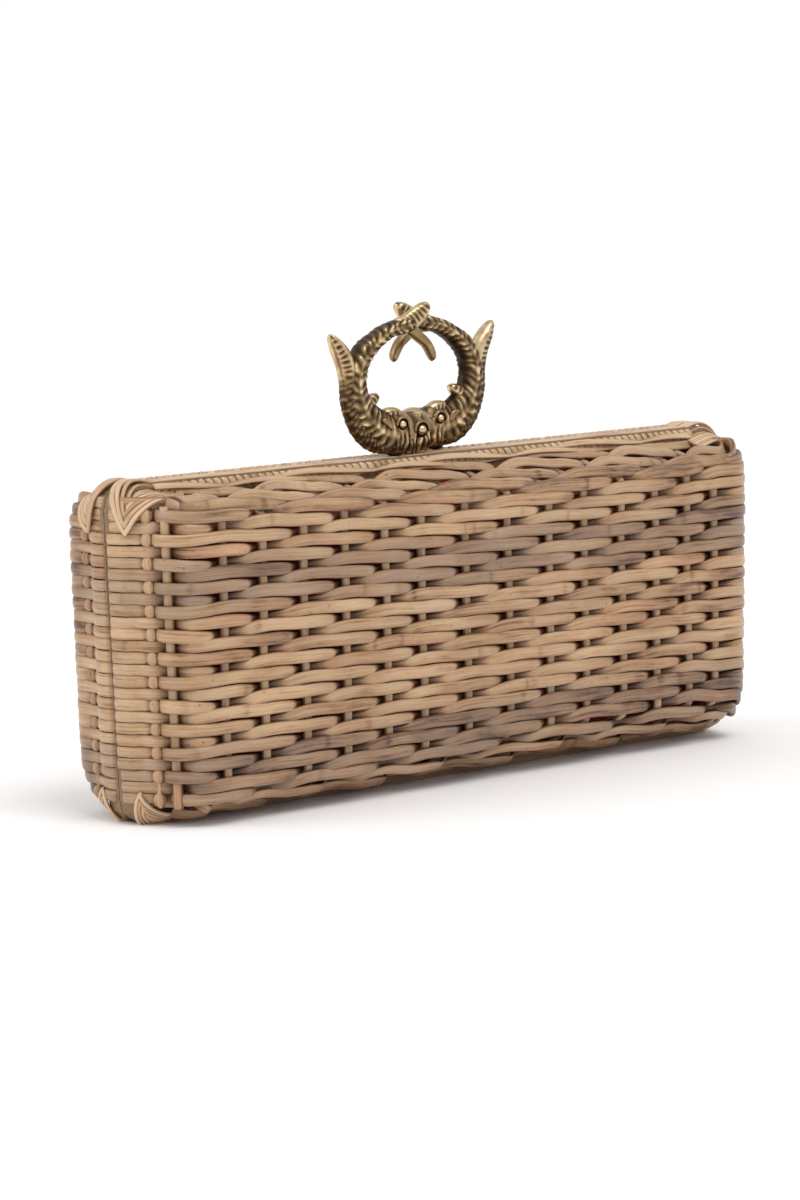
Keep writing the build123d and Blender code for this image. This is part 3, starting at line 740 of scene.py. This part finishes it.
def coil(bundle, direction, y, z, half_y, half_z, pitch, half_side, half_out, phase=0.0):
    """Cane wound round a straight bar, along X from one end of the rim to the other."""
    per_turn = 24
    amount = int(2 * RIM_REACH / pitch * per_turn)
    turn = np.arange(amount) * 2 * np.pi / per_turn + phase
    x = direction * RIM_REACH * (2 * np.arange(amount) / amount - 1)
    away = np.stack([np.zeros(amount), np.cos(turn), np.sin(turn)], axis=1)
    centres = np.stack([x, y + half_y * np.cos(turn), z + half_z * np.sin(turn)], axis=1)
    tone = 0.55 + wander(bundle.rng, x, 0.25, 30.0)
    bundle.tube(centres, away, half_side, half_out, tone, 0.08, sides=6, square=2.2)


def lay(bundle, x, y, z, away, half_side, half_out, wavelength):
    """Lays one flat strand along a rim; away is the way that it faces."""
    centres = np.stack(np.broadcast_arrays(x, y, z), axis=1)
    tone = 0.6 + wander(bundle.rng, x, 0.2, wavelength)
    bundle.tube(centres, np.tile(away, (len(x), 1)), half_side, half_out, tone, 0.08, sides=10)


def rim_strip(bundle, y, z, half_side):
    """A flat strip of cane along the top of a rim."""
    x = np.arange(-RIM_REACH, RIM_REACH, 4.0)
    lay(bundle, x, y, z + wander(bundle.rng, x, 0.12, 60.0), (0.0, 0.0, 1.0), half_side, 0.45, 70.0)


def binder(bundle, y, z, phase):
    """A strand that winds slowly in and out along a rim's outer edge."""
    x = np.arange(-RIM_REACH, RIM_REACH, 2.0)
    turn = 2 * np.pi * x / BINDER_WAVE + phase
    y, z = y - 0.5 * np.sin(turn) + 0.15, z + 0.8 * np.sin(turn + 1.2)
    lay(bundle, x, y, z, (0.0, -0.7, 0.7), 1.25, 0.5, 80.0)


front_cane = Bundle(31)
rim_strip(front_cane, -1.9, HEIGHT - 0.05, 1.7)
rim_strip(front_cane, -4.9, HEIGHT - 0.1, 1.5)
coil(front_cane, 1, -6.2, 102.0, 1.3, 1.9, 3.1, 1.5, 0.45)
binder(front_cane, -7.5, 102.4, 0.0)
binder(front_cane, -7.7, 101.4, 2.1)
front_rim_cane = front_cane.build("front_rim_cane", CANE)
back_cane = Bundle(37)
for start in range(BACK_STARTS):
    lead = 2 * math.pi * start / BACK_STARTS
    coil(back_cane, -1, -4.0, HEIGHT - 4.4, 3.2, 4.55, BACK_PITCH, 1.74, 0.5, lead)
back_rim_cane = back_cane.build("back_rim_cane", CANE, turned=True)
print("rim cane faces:", len(front_rim_cane.data.polygons), len(back_rim_cane.data.polygons))

# %% [markdown]
# ## Corner wraps
# Flat cane strips wrap over each corner of a tray and hold the rim to the basket. They lie side
# by side on the rim, turn down over the corner and close like the two halves of a leaf, whose
# tip lies on the end wall. A path for each strip keeps the steps between them. The lower wraps
# are narrower, so that they clear the other tray when the bag opens.

# %% Corner fans
FAN_STRIPS = 5
FAN_MIDDLE = 8.6
FAN_START = -8.0
FAN_PLACES = 36
FAN_STRIP_THICK = 0.5

# For the top and the foot: half width, tip, lift, and how the skin falls away behind the rim
FAN_TOP = SimpleNamespace(sign=1, half_width=8.0, tip=15.5, lift=0.9, drop=4.0, fall=0.2)
FAN_FOOT = SimpleNamespace(sign=-1, half_width=5.2, tip=12.5, lift=0.7, drop=2.6, fall=0.4)


def fan_point(fan, side, turn, depth, lift):
    """A point on the corner's skin: turn is 0 on the end wall and a quarter turn on the rim."""
    slope = fan.drop * soften(rise(depth, 4.0, 9.0)) + fan.fall * max(depth - 9.0, 0.0)
    level = HEIGHT - slope if fan.sign > 0 else slope
    radius = OUTLINE_RADIUS + lift
    angle = min(max(turn, 0.0), math.pi / 2)
    x = half_length(level, depth) - OUTLINE_RADIUS + radius * math.cos(angle)
    x -= OUTLINE_RADIUS * max(turn - math.pi / 2, 0.0)
    z = level + fan.sign * (radius * math.sin(angle) + OUTLINE_RADIUS * (min(turn, 0.0) - 1))
    away = (side * math.cos(angle), 0.0, fan.sign * math.sin(angle))
    return (side * x, -depth, max(z, FAN_STRIP_THICK)), away


def corner_fan(name, fan, side, seed, turned):
    """One corner's leaf of flat strips."""
    bundle = Bundle(seed)
    spacing = fan.half_width / FAN_STRIPS
    for half in (-1, 1):
        for strip in range(FAN_STRIPS):
            wide = fan.half_width - spacing * (strip + 0.5)
            tip = fan.tip * (0.25 + 0.75 * (wide + 0.5 * spacing) / fan.half_width)
            way = np.linspace(FAN_START, tip, FAN_PLACES)
            share = np.clip(way / tip, 0, 1)
            line = []
            for place, part in zip(way, share):
                depth = FAN_MIDDLE + half * (wide * (1 - part**2) - 0.3 * part)
                lift = fan.lift + 0.1 * half + 0.08 * strip + 0.9 * rise(place, 0.0, 9.0)
                lift -= 1.0 * part**8 + 1.7 * rise(place, -1.5, FAN_START)
                line.append(fan_point(fan, side, math.pi / 2 - place / OUTLINE_RADIUS, depth, lift))
            centres, out = zip(*line)
            half_side = spacing * (0.66 - 0.12 * share)
            tone = bundle.rng.uniform(0.35, 0.9)
            bundle.tube(centres, out, half_side, FAN_STRIP_THICK, tone, 0.1, sides=8, square=2.8)
    return bundle.build(name, CANE, turned)


fans = []
for body, turned in (("front", False), ("back", True)):
    for side, side_name in ((-1, "left"), (1, "right")):
        for fan, level_name in ((FAN_TOP, "top"), (FAN_FOOT, "bottom")):
            shown_side = -side if turned else side
            name = f"{body}_{level_name}_{side_name}_fan"
            piece = corner_fan(name, fan, shown_side, 50 + len(fans), turned)
            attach(piece, body)
            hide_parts(f"{body}_wrap_{level_name}_{side_name}")
            fans.append(piece)
print("corner fans:", len(fans))

# %% [markdown]
# ## Lining
# A red cotton cloth lines each tray. It is cut as a cross from one rectangle, sewn up at its
# corners and stretched, with a hem behind the rim, and it shows as a glint of red through the
# gaps of the weave. It hangs nowhere, so it needs no cloth simulation.

# %% Lining cloth
LINING_MOUTH = RIM_DEPTH + 0.4
LINING_DEPTH = 22.6
LINING_HALF_LENGTH = 122.0
LINING_FOOT = 14.5
LINING_TOP = 90.5
LINING_HEM = 5.7
LINING_DRAFT = 0.985
THREADS_PER_METRE = 2000.0


def cotton(name):
    """Plain red cotton with threads of about 0.5 mm."""
    material, tree, shader = new_material(name)
    place = add_node(tree, "TexCoord").outputs["Object"]
    bands = {"Vector": place, "Scale": THREADS_PER_METRE / (2 * math.pi), "Distortion": 0.6}
    threads = [add_node(tree, "TexWave", bands, bands_direction=way).outputs["Fac"] for way in "XZ"]
    cloth = maths(tree, "MAXIMUM", *threads)
    red = ramp(tree, cloth, [(0.0, "#5E0D16"), (1.0, "#8F1C28")])
    feed(tree, shader, {"Base Color": red, "Roughness": 0.9})
    add_bump(tree, shader, cloth, 0.5, 0.0001)
    return material


RED_COTTON = cotton("plain red cotton")


def lining(name, turned):
    """A cloth tray behind the weave, as one thin sheet."""
    sign = -1.0 if turned else 1.0
    x, low, high, hem = LINING_HALF_LENGTH, LINING_FOOT, LINING_TOP, LINING_HEM

    def ring(half, foot, top, depth):
        """Four corners of a level of the cloth."""
        corners = ((-half, foot), (half, foot), (half, top), (-half, top))
        return [(sign * px, -sign * depth, pz) for px, pz in corners]

    points = ring(x, low, high, LINING_MOUTH) + ring(LINING_DRAFT * x, low, high, LINING_DEPTH)
    points += ring(x + hem, low - hem, high + hem, LINING_MOUTH)
    faces = [[4, 5, 6, 7]] + [[i, (i + 1) % 4, 4 + (i + 1) % 4, 4 + i] for i in range(4)]
    faces += [[8 + i, 8 + (i + 1) % 4, (i + 1) % 4, i] for i in range(4)]
    cloth = make_mesh(name, np.array(points) * MM, faces, RED_COTTON)
    cloth.data.polygons.foreach_set("use_smooth", [False] * len(cloth.data.polygons))
    return cloth


front_cloth = lining("front_lining_cloth", False)
back_cloth = lining("back_lining_cloth", True)

# %% [markdown]
# ## Metals and the rim bar
# The clasp is cast brass, dark in its recesses and worn bright on its ridges. The mesh stores how
# high each point stands above the recesses, and the colour follows it, as polish does. The small
# fittings are rolled brass and nickel plate with a faint grain.


# %% Metals
def surface_noise(tree, scale, detail, stretch=(1.0, 1.0, 1.0)):
    """Noise fixed to the piece; the scale is in cells per metre."""
    place = add_node(tree, "TexCoord").outputs["Object"]
    place = add_node(tree, "Mapping", {"Vector": place, "Scale": stretch}).outputs[0]
    return add_node(tree, "TexNoise", {"Vector": place, "Scale": scale, "Detail": detail}).outputs["Fac"]


def antiqued_brass(name):
    """Cast brass, dark where the stored height is low."""
    material, tree, shader = new_material(name)
    stain = surface_noise(tree, 350.0, 4.0)
    worn = scaled(tree, stain, 0.5, maths(tree, "ADD", attribute(tree, "height"), -0.25))
    brass = ramp(tree, worn, [(0.12, "#241B14"), (0.42, "#614D37"), (0.74, "#9D835E"), (1.0, "#E2CAA2")])
    gloss = scaled(tree, worn, -0.25, 0.52)
    feed(tree, shader, {"Base Color": brass, "Metallic": 1.0, "Roughness": gloss})
    add_bump(tree, shader, stain, 0.25, 0.0001)
    return material


def plain_metal(name, text, roughness):
    """A rolled metal with a faint grain."""
    material, tree, shader = new_material(name)
    gloss = scaled(tree, surface_noise(tree, 900.0, 3.0), 0.15, roughness)
    feed(tree, shader, {"Base Color": colour(text), "Metallic": 1.0, "Roughness": gloss})
    return material


def cane_bar(name):
    """Cane of a rim's bar, with fibres along X, darkened all over as painted shade of the core in the gaps.
    """
    material, tree, shader = new_material(name)
    fibre = surface_noise(tree, 1.0, 3.0, stretch=(40.0, 2000.0, 2000.0))
    # Painted shade: both ramp colours are darker than the cane, so the bar looks like a shadowed core.
    cane = ramp(tree, fibre, [(0.2, "#66503A"), (0.8, "#977A56")])
    feed(tree, shader, {"Base Color": cane, "Roughness": 0.45})
    add_bump(tree, shader, fibre, 0.3, 0.0001)
    return material


CLASP_BRASS = antiqued_brass("antiqued cast brass")
ROLLED_BRASS = plain_metal("rolled brass", "#B08D4F", 0.3)
NICKEL = plain_metal("nickel plate", "#BDBEC1", 0.25)
RIM_BAR_CANE_PAINTED_SHADE = cane_bar("rim bar cane with painted shade")
print("finishes:", ", ".join(m.name for m in (CLASP_BRASS, ROLLED_BRASS, NICKEL, RIM_BAR_CANE_PAINTED_SHADE)))

# %% [markdown]
# ## The clasp figures
# Each half of the ring is a scaled sea creature: its head lies at the foot of the ring, its body
# bends round one side and its tail crosses the other one's at the top. Sculpting by hand could
# not be repeated, so a limb is a tube along a few stations. Each station gives the distance out
# from the ring's middle, the height above the rim and the half width.

# %% Clasp stations
CLASP_X = -3.0
CLASP_PLANE = 4.0
BODY = [(-3.5, 7.6, 4.4), (2.0, 7.4, 6.2), (9.0, 7.5, 6.8), (17.0, 8.1, 7.0), (22.5, 11.0, 6.4)]
BODY += [(27.0, 15.6, 5.5), (29.5, 21.2, 4.7), (29.4, 27.5, 4.3), (26.4, 33.0, 3.9), (20.6, 37.4, 3.2)]
BODY += [(14.3, 40.3, 2.9), (8.0, 41.3, 2.9), (3.5, 41.9, 2.6)]
UPPER_TAIL = [(12.0, 40.8, 2.7), (6.5, 42.0, 3.2), (2.0, 44.2, 3.1), (-0.9, 46.3, 2.3), (-3.3, 48.2, 0.9)]
LOWER_TAIL = [(6.0, 40.9, 2.0), (1.2, 37.7, 1.8), (-2.3, 35.0, 1.6), (-4.4, 31.6, 1.4), (-4.6, 29.4, 0.8)]
FIN = [(12.0, 3.4, 2.3), (21.5, 4.6, 2.9), (28.4, 9.8, 3.2), (32.2, 18.0, 3.2), (32.6, 25.5, 3.2)]
FIN += [(33.8, 31.0, 3.2), (36.9, 36.0, 2.4), (40.3, 40.4, 0.8)]
NECK_SPUR = [(26.5, 17.0, 2.6), (22.5, 18.9, 1.9), (19.8, 20.2, 0.9)]
FRONT_BROW = [(-2.6, 9.6, 1.6), (1.0, 12.0, 1.9), (5.0, 12.4, 1.7), (8.4, 11.6, 1.2)]
REAR_BROW = [(9.6, 12.4, 1.4), (13.6, 13.9, 1.9), (18.2, 14.0, 1.3)]
EAR = [(16.6, 8.9, 0.8), (18.9, 11.4, 1.3), (21.3, 12.4, 0.7)]
NOSE = [(9.6, 11.0, 0.7), (8.6, 8.4, 1.0), (8.2, 6.2, 1.3), (9.4, 5.2, 0.7)]
STEM = [(12.8, -12.3, 1.45), (12.8, -6.0, 1.45), (12.8, 0.0, 1.45), (12.8, 3.0, 1.45)]
COLLAR = [(12.8, 0.0, 2.9), (12.8, 1.5, 2.9), (12.8, 3.0, 2.9)]
print("stations of the body:", len(BODY))

# %% [markdown]
# ## Relief of the castings
# Scales, ridges and mane are raised by functions of the run along a limb and the place across it,
# from -1 on its inner edge to 1 on its outer one. Cast marks are never quite alike, so a slow
# uneven shift runs through them. The value returned is both the relief and the stored height.


# %% Relief functions
def ridge(phase, sharp=1.0):
    """A repeating ridge from 0 to 1."""
    return (0.5 + 0.5 * np.cos(2 * np.pi * phase)) ** sharp


def uneven(run, across):
    """A slow uneven shift."""
    return 0.16 * np.sin(run * 1.1 + 2.0 * across) + 0.12 * np.sin(run * 0.47 - 3.1 * across + 1.0)


def body_relief(run, across, total):
    """Scales along the body, a line of spines, and a mane of flame-like locks over the head."""
    run = run + 2.2 * uneven(run, across)
    off_spine = np.abs(across - 0.1)
    chevron = ridge(run / 2.7 - 0.85 * off_spine, 0.7)
    spine = np.exp(-((off_spine / 0.16) ** 2))
    flank = np.exp(-(((off_spine - 0.48) / 0.34) ** 2))
    scales = 0.18 + 0.85 * chevron * flank + 0.75 * spine * (0.7 + 0.3 * ridge(run / 2.7, 0.8))
    scales = scales * (0.88 + 0.9 * uneven(0.7 * run, 2.0 * across))
    waves = 0.16 * np.sin(2 * np.pi * across * 1.1 + run * 0.8)
    locks = 0.1 + 0.9 * ridge(run / 2.0 + waves + 0.35 * across, 1.0)
    brow = 0.62 + 0.2 * np.sin(run * 1.3 + 4.0 * across)
    below = np.clip((across + 0.15) * 3.5, 0, 1)
    mane = locks * below + brow * (1 - below)
    head = rise(run, 20.0, 16.0)
    return (scales * (1 - head) + mane * head) * (0.35 + 0.65 * rise(total - run, 0.0, 4.0))


def fin_relief(run, across, total):
    """Fine nicks along a smooth band, stronger towards its tip."""
    rung = np.exp(-(((across - 0.35) / 0.42) ** 4))
    bright = rise(run, 0.60 * total, 0.74 * total)
    run = run + uneven(run, across)
    speckle = ridge(run / 1.7 + 0.8 * across, 0.7) * ridge(run / 3.3 - 0.9 * across, 0.4)
    high = 0.92 - 0.75 * rung * ridge(run / 1.9 - 0.25 * across, 1.4)
    return (0.22 + 0.5 * speckle) * (1 - bright) + high * bright


def fluke_relief(run, across, total):
    """A smooth fluke with short nicks on one edge."""
    rung = np.exp(-(((across - 0.15) / 0.55) ** 4))
    return 0.92 - 0.7 * rung * ridge(run / 1.9 + 0.3 * across, 1.4)


def even_relief(height):
    """A smooth limb of one height, which is dark when it is low."""
    return lambda run, across, total: height + 0.0 * run


SMOOTH = even_relief(0.7)
LOW = even_relief(0.25)
print("height of a scale's flank:", body_relief(30.0, 0.5, 90.0).round(2))

# %% [markdown]
# ## Casting a limb
# The stations are joined by a smooth curve with even steps. A ring of points stands round each
# step, pushed out by the relief and held between two flat faces, as in a mould of two halves.

# %% Limbs and beads
HALF_THICK = 3.6
MEAN_RELIEF = 0.6
END_ROUND = 1.6


def smooth_stations(stations, step):
    """Points of a smooth curve through the stations, at even steps."""
    points = np.array(stations, float)
    chain = np.concatenate([[2 * points[0] - points[1]], points, [2 * points[-1] - points[-2]]])
    curve = []
    for a, b, c, d in zip(chain, chain[1:], chain[2:], chain[3:]):
        for t in np.linspace(0, 1, 24, endpoint=False):
            bend = (2 * a - 5 * b + 4 * c - d) * t**2 + (3 * b - a - 3 * c + d) * t**3
            curve.append(0.5 * (2 * b + (c - a) * t + bend))
    curve = np.array([*curve, points[-1]])
    run = run_along(curve[:, :2])
    even = np.linspace(0, run[-1], int(run[-1] / step) + 2)
    return np.stack([np.interp(even, run, curve[:, i]) for i in range(3)], axis=1), even


class Casting:
    """Limbs and beads of one clasp figure, joined into one mesh."""

    def __init__(self, side):
        self.side = side
        self.points = []
        self.faces = []
        self.heights = []
        self.count = 0

    def limb(self, stations, relief, amount, half_thick, sides=44, step=0.5, lift=0.0, reach=HALF_THICK):
        """Adds one tube with relief of an amount in millimetres."""
        line, run = smooth_stations(stations, step)
        ahead = heading(line[:, :2])
        outward = np.stack([ahead[:, 1], -ahead[:, 0]], axis=1)
        turn = np.linspace(-np.pi, np.pi, sides, endpoint=False)
        raised = relief(run[:, None], np.cos(turn)[None, :], run[-1]) * np.ones((len(run), sides))
        near_end = np.minimum(run, run[-1] - run)
        close = 0.12 + 0.88 * np.sqrt(1 - (1 - rise(near_end, 0.0, END_ROUND)) ** 2)[:, None]
        half = line[:, 2:3] * close
        thick = np.minimum(half_thick, line[:, 2:3] * 0.95 + 0.4) * close
        grow = amount * (raised - MEAN_RELIEF)
        wide = (half + grow) * np.cos(turn)
        deep = (thick + grow) * np.sign(np.sin(turn)) * np.abs(np.sin(turn)) ** 0.85
        flat = line[:, None, :2] + outward[:, None, :] * wide[:, :, None]
        self.add(flat[..., 0], flat[..., 1], np.clip(deep + lift, -reach, reach), raised)

    def bead(self, out, height, y, radius, raised=1.0, flat=1.0):
        """Adds a small ball, such as an eye, or a disc where flat is small."""
        polar = np.linspace(0.15, np.pi - 0.15, 9)[:, None]
        turn = np.linspace(0, 2 * np.pi, 14, endpoint=False)[None, :]
        wide = radius * np.sin(polar)
        deep = y + flat * radius * np.cos(polar) * np.ones_like(turn)
        raised = np.full(deep.shape, raised)
        self.add(out + wide * np.cos(turn), height + wide * np.sin(turn), deep, raised)

    def add(self, out, height, y, raised):
        """Adds rings of points, in the figure's own measures, as a closed tube."""
        amount, sides = out.shape
        x = CLASP_X + self.side * out
        rings = np.stack([x, self.side * CLASP_PLANE + y, HEIGHT + height], axis=-1)
        self.points.append(rings.reshape(-1, 3))
        self.heights.append(raised.reshape(-1))
        self.faces += tube_faces(self.count, amount, sides, self.side)
        self.count += amount * sides

    def build(self, name, material):
        """Makes the mesh object."""
        points = np.concatenate(self.points) * MM
        return make_mesh(name, points, self.faces, material, {"height": self.heights})


print("length of the body:", round(smooth_stations(BODY, 0.5)[1][-1]), "mm")

# %% [markdown]
# ## Putting a figure together
# A body, a fin that ends in a horn, and the two halves of a forked tail make the outline. Brows,
# eyes in dark sockets with a curl round them, ears and noses make the heads. A stem goes down
# through the rim. The second figure is the first one turned about, on its own side of the seam.

# %% The two figures
OUTLINE_LIMBS = (
    (BODY, body_relief, 1.0, HALF_THICK),
    (FIN, fin_relief, 0.6, 2.6),
    (UPPER_TAIL, fluke_relief, 0.4, 2.0, 28),
    (LOWER_TAIL, SMOOTH, 0.3, 1.9, 28),
    (NECK_SPUR, fluke_relief, 0.4, 2.2, 28),
    (FRONT_BROW, fluke_relief, 0.5, 3.4),
    (REAR_BROW, fluke_relief, 0.5, 3.4),
)
EYE = (12.4, 10.4, 1.45)
OUTER_EYE = (3.9, 8.1, 1.75)


def eye(cast, face, out, height, radius):
    """An eye in a dark socket, with a curl of brow round it."""
    cast.bead(out, height, face * 3.25, radius * 1.6, raised=0.1, flat=0.28)
    cast.bead(out, height, face * 3.2, radius)
    wide = 1.75 * radius
    turns = np.radians(np.arange(-20, 201, 20))
    curl = [(out + wide * math.cos(t), height + 0.9 * wide * math.sin(t), 0.5) for t in turns]
    cast.limb(curl, SMOOTH, 0.0, 0.75, sides=12, step=0.7, lift=face * 3.5, reach=4.2)


def clasp_figure(side, name):
    """One sea creature of the ring."""
    cast = Casting(side)
    for limb in OUTLINE_LIMBS:
        cast.limb(*limb)
    for face in (-1, 1):
        for place in (EYE, OUTER_EYE) if face == side else (EYE,):
            eye(cast, face, *place)
        for feature in (EAR, NOSE):
            cast.limb(feature, SMOOTH, 0.0, 0.9, sides=16, lift=face * 3.3, reach=4.1)
    cast.limb(STEM, LOW, 0.0, 1.45, sides=20, step=1.5)
    cast.limb(COLLAR, LOW, 0.0, 2.9, sides=28)
    return cast.build(name, CLASP_BRASS)


front_figure = clasp_figure(-1, "front_sea_creature")
back_figure = clasp_figure(1, "back_sea_creature")
print("figure faces:", len(front_figure.data.polygons), len(back_figure.data.polygons))

# %% [markdown]
# ## Joining the pieces to the frame
# Each piece moves with its tray, stands for the plain CAD node that it covers, and keeps the
# finish that it was built with. The small fittings keep their CAD shapes, which are true as they are,
# and get real finishes.

# %% Bodies, nodes and finishes
for body, weave, stakes, cane, cloth, figure in (
    ("front", front_weave, front_stakes, front_rim_cane, front_cloth, front_figure),
    ("back", back_weave, back_stakes, back_rim_cane, back_cloth, back_figure),
):
    for piece, ending, slot in (
        (weave, "basket", "weave"),
        (stakes, None, "weave"),
        (cane, None, "rim"),
        (cloth, "lining", "lining"),
        (figure, "clasp_figure", "clasp_brass"),
    ):
        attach(piece, body)
        if ending:
            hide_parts(f"{body}_{ending}")

FINISHES = {"rim": RIM_BAR_CANE_PAINTED_SHADE, "catch_magnets": NICKEL}
FINISHES |= dict.fromkeys(("hinge_leaves", "hinge_pins", "hinge_screws", "clasp_backing"), ROLLED_BRASS)
finished = 0
for name, node in nodes.items():
    for ending, material in FINISHES.items():
        if name.endswith(ending):
            node.data.materials.clear()
            node.data.materials.append(material)
            finished += 1
print("CAD nodes with a finish:", finished)

# %% [markdown]
# ## Floor and world
# The bag stands on a pale floor, as in a product photo. The world lights it evenly and looks
# white only where the camera sees it, so that the background is clean without more light.

# %% Floor and world
FLOOR_REACH = 60.0
WORLD_STRENGTH = 0.80


def stage_floor(reach):
    """A wide flat floor of a matt white sweep at z = 0."""
    material, tree, shader = new_material("matt white sweep")
    feed(tree, shader, {"Base Color": colour("#FBFAFA"), "Roughness": 0.95})
    corners = [(-reach, -reach, 0), (reach, -reach, 0), (reach, reach, 0), (-reach, reach, 0)]
    make_mesh("floor", corners, [[0, 1, 2, 3]], material)


def world_light(strength):
    """Even white light that the camera sees as plain white."""
    world = bpy.data.worlds.new("white studio")
    world.use_nodes = True
    tree = world.node_tree
    lit = tree.nodes["Background"]
    feed(tree, lit, {"Color": colour("#FFFFFF"), "Strength": strength})
    seen = add_node(tree, "Background", {"Color": colour("#FFFFFF"), "Strength": 1.0})
    rays = add_node(tree, "LightPath").outputs["Is Camera Ray"]
    blend = add_node(tree, "MixShader", {0: rays, 1: lit.outputs[0], 2: seen.outputs[0]})
    tree.links.new(blend.outputs[0], tree.nodes["World Output"].inputs["Surface"])
    bpy.context.scene.world = world


stage_floor(FLOOR_REACH)
world_light(WORLD_STRENGTH)
print("world strength:", WORLD_STRENGTH)

# %% [markdown]
# ## Camera
# The camera was solved from the photo's straight edges: a long lens, low and to the left of the
# front, tipped by about one degree. A fitted place and turn keep every row where the photo has it.

# %% The photo's camera
CAMERA_TARGET = Vector((0.0, 0.0, 0.060))
CAMERA_AZIMUTH = math.radians(-44.0)
CAMERA_ELEVATION = math.radians(6.574)
CAMERA_ROLL = math.radians(-1.178)
CAMERA_DISTANCE = 1.5597
CAMERA_SHIFT_RIGHT = -0.00777
CAMERA_SHIFT_UP = -0.00333
CAMERA_LENS = 144.85
SENSOR_HEIGHT = 36.0


def camera_axes():
    """Right, up and backward directions of the camera."""
    a, e = CAMERA_AZIMUTH, CAMERA_ELEVATION
    back = Vector((math.sin(a) * math.cos(e), -math.cos(a) * math.cos(e), math.sin(e)))
    level = Vector((math.cos(a), math.sin(a), 0.0))
    above = back.cross(level)
    c, s = math.cos(CAMERA_ROLL), math.sin(CAMERA_ROLL)
    return c * level + s * above, -s * level + c * above, back


right, up, back = camera_axes()
lens = bpy.data.cameras.new("camera")
lens.sensor_fit = "VERTICAL"
lens.sensor_height = SENSOR_HEIGHT
lens.lens = CAMERA_LENS
lens.clip_end = 200.0
camera = bpy.data.objects.new("camera", lens)
bpy.context.scene.collection.objects.link(camera)
place = CAMERA_TARGET + back * CAMERA_DISTANCE + right * CAMERA_SHIFT_RIGHT + up * CAMERA_SHIFT_UP
turn = Matrix((right, up, back)).transposed().to_4x4()
camera.matrix_world = Matrix.Translation(place) @ turn
bpy.context.scene.camera = camera
print("camera:", [round(value, 3) for value in place], "lens", CAMERA_LENS, "mm")

# %% [markdown]
# ## Lamps
# The photo has one wide soft light, high and to the right, and very weak shadows. A sun with a
# broad disc gives that at one strength all over the floor. A faint fill lamp opens up the left.


# %% Key and fill
def add_lamp(name, kind, strength, turned):
    """A lamp of the stage with its strength and direction."""
    data = bpy.data.lights.new(name, kind)
    data.energy = strength
    lamp = bpy.data.objects.new(name, data)
    lamp.rotation_euler = turned.to_euler()
    bpy.context.scene.collection.objects.link(lamp)
    return lamp


key_from = right * 0.42 + back * 0.45 + Vector((0, 0, 1.0))
key = add_lamp("key", "SUN", 1.10, key_from.to_track_quat("Z", "Y"))
key.data.angle = math.radians(34.0)
fill_place = CAMERA_TARGET - right * 1.5 + back * 0.5 + Vector((0, 0, 0.9))
fill = add_lamp("fill", "AREA", 7.0, (CAMERA_TARGET - fill_place).to_track_quat("-Z", "Y"))
fill.data.size = 1.0
fill.location = fill_place
bpy.context.scene.view_settings.view_transform = "Standard"
print("lamps:", key.name, fill.name)
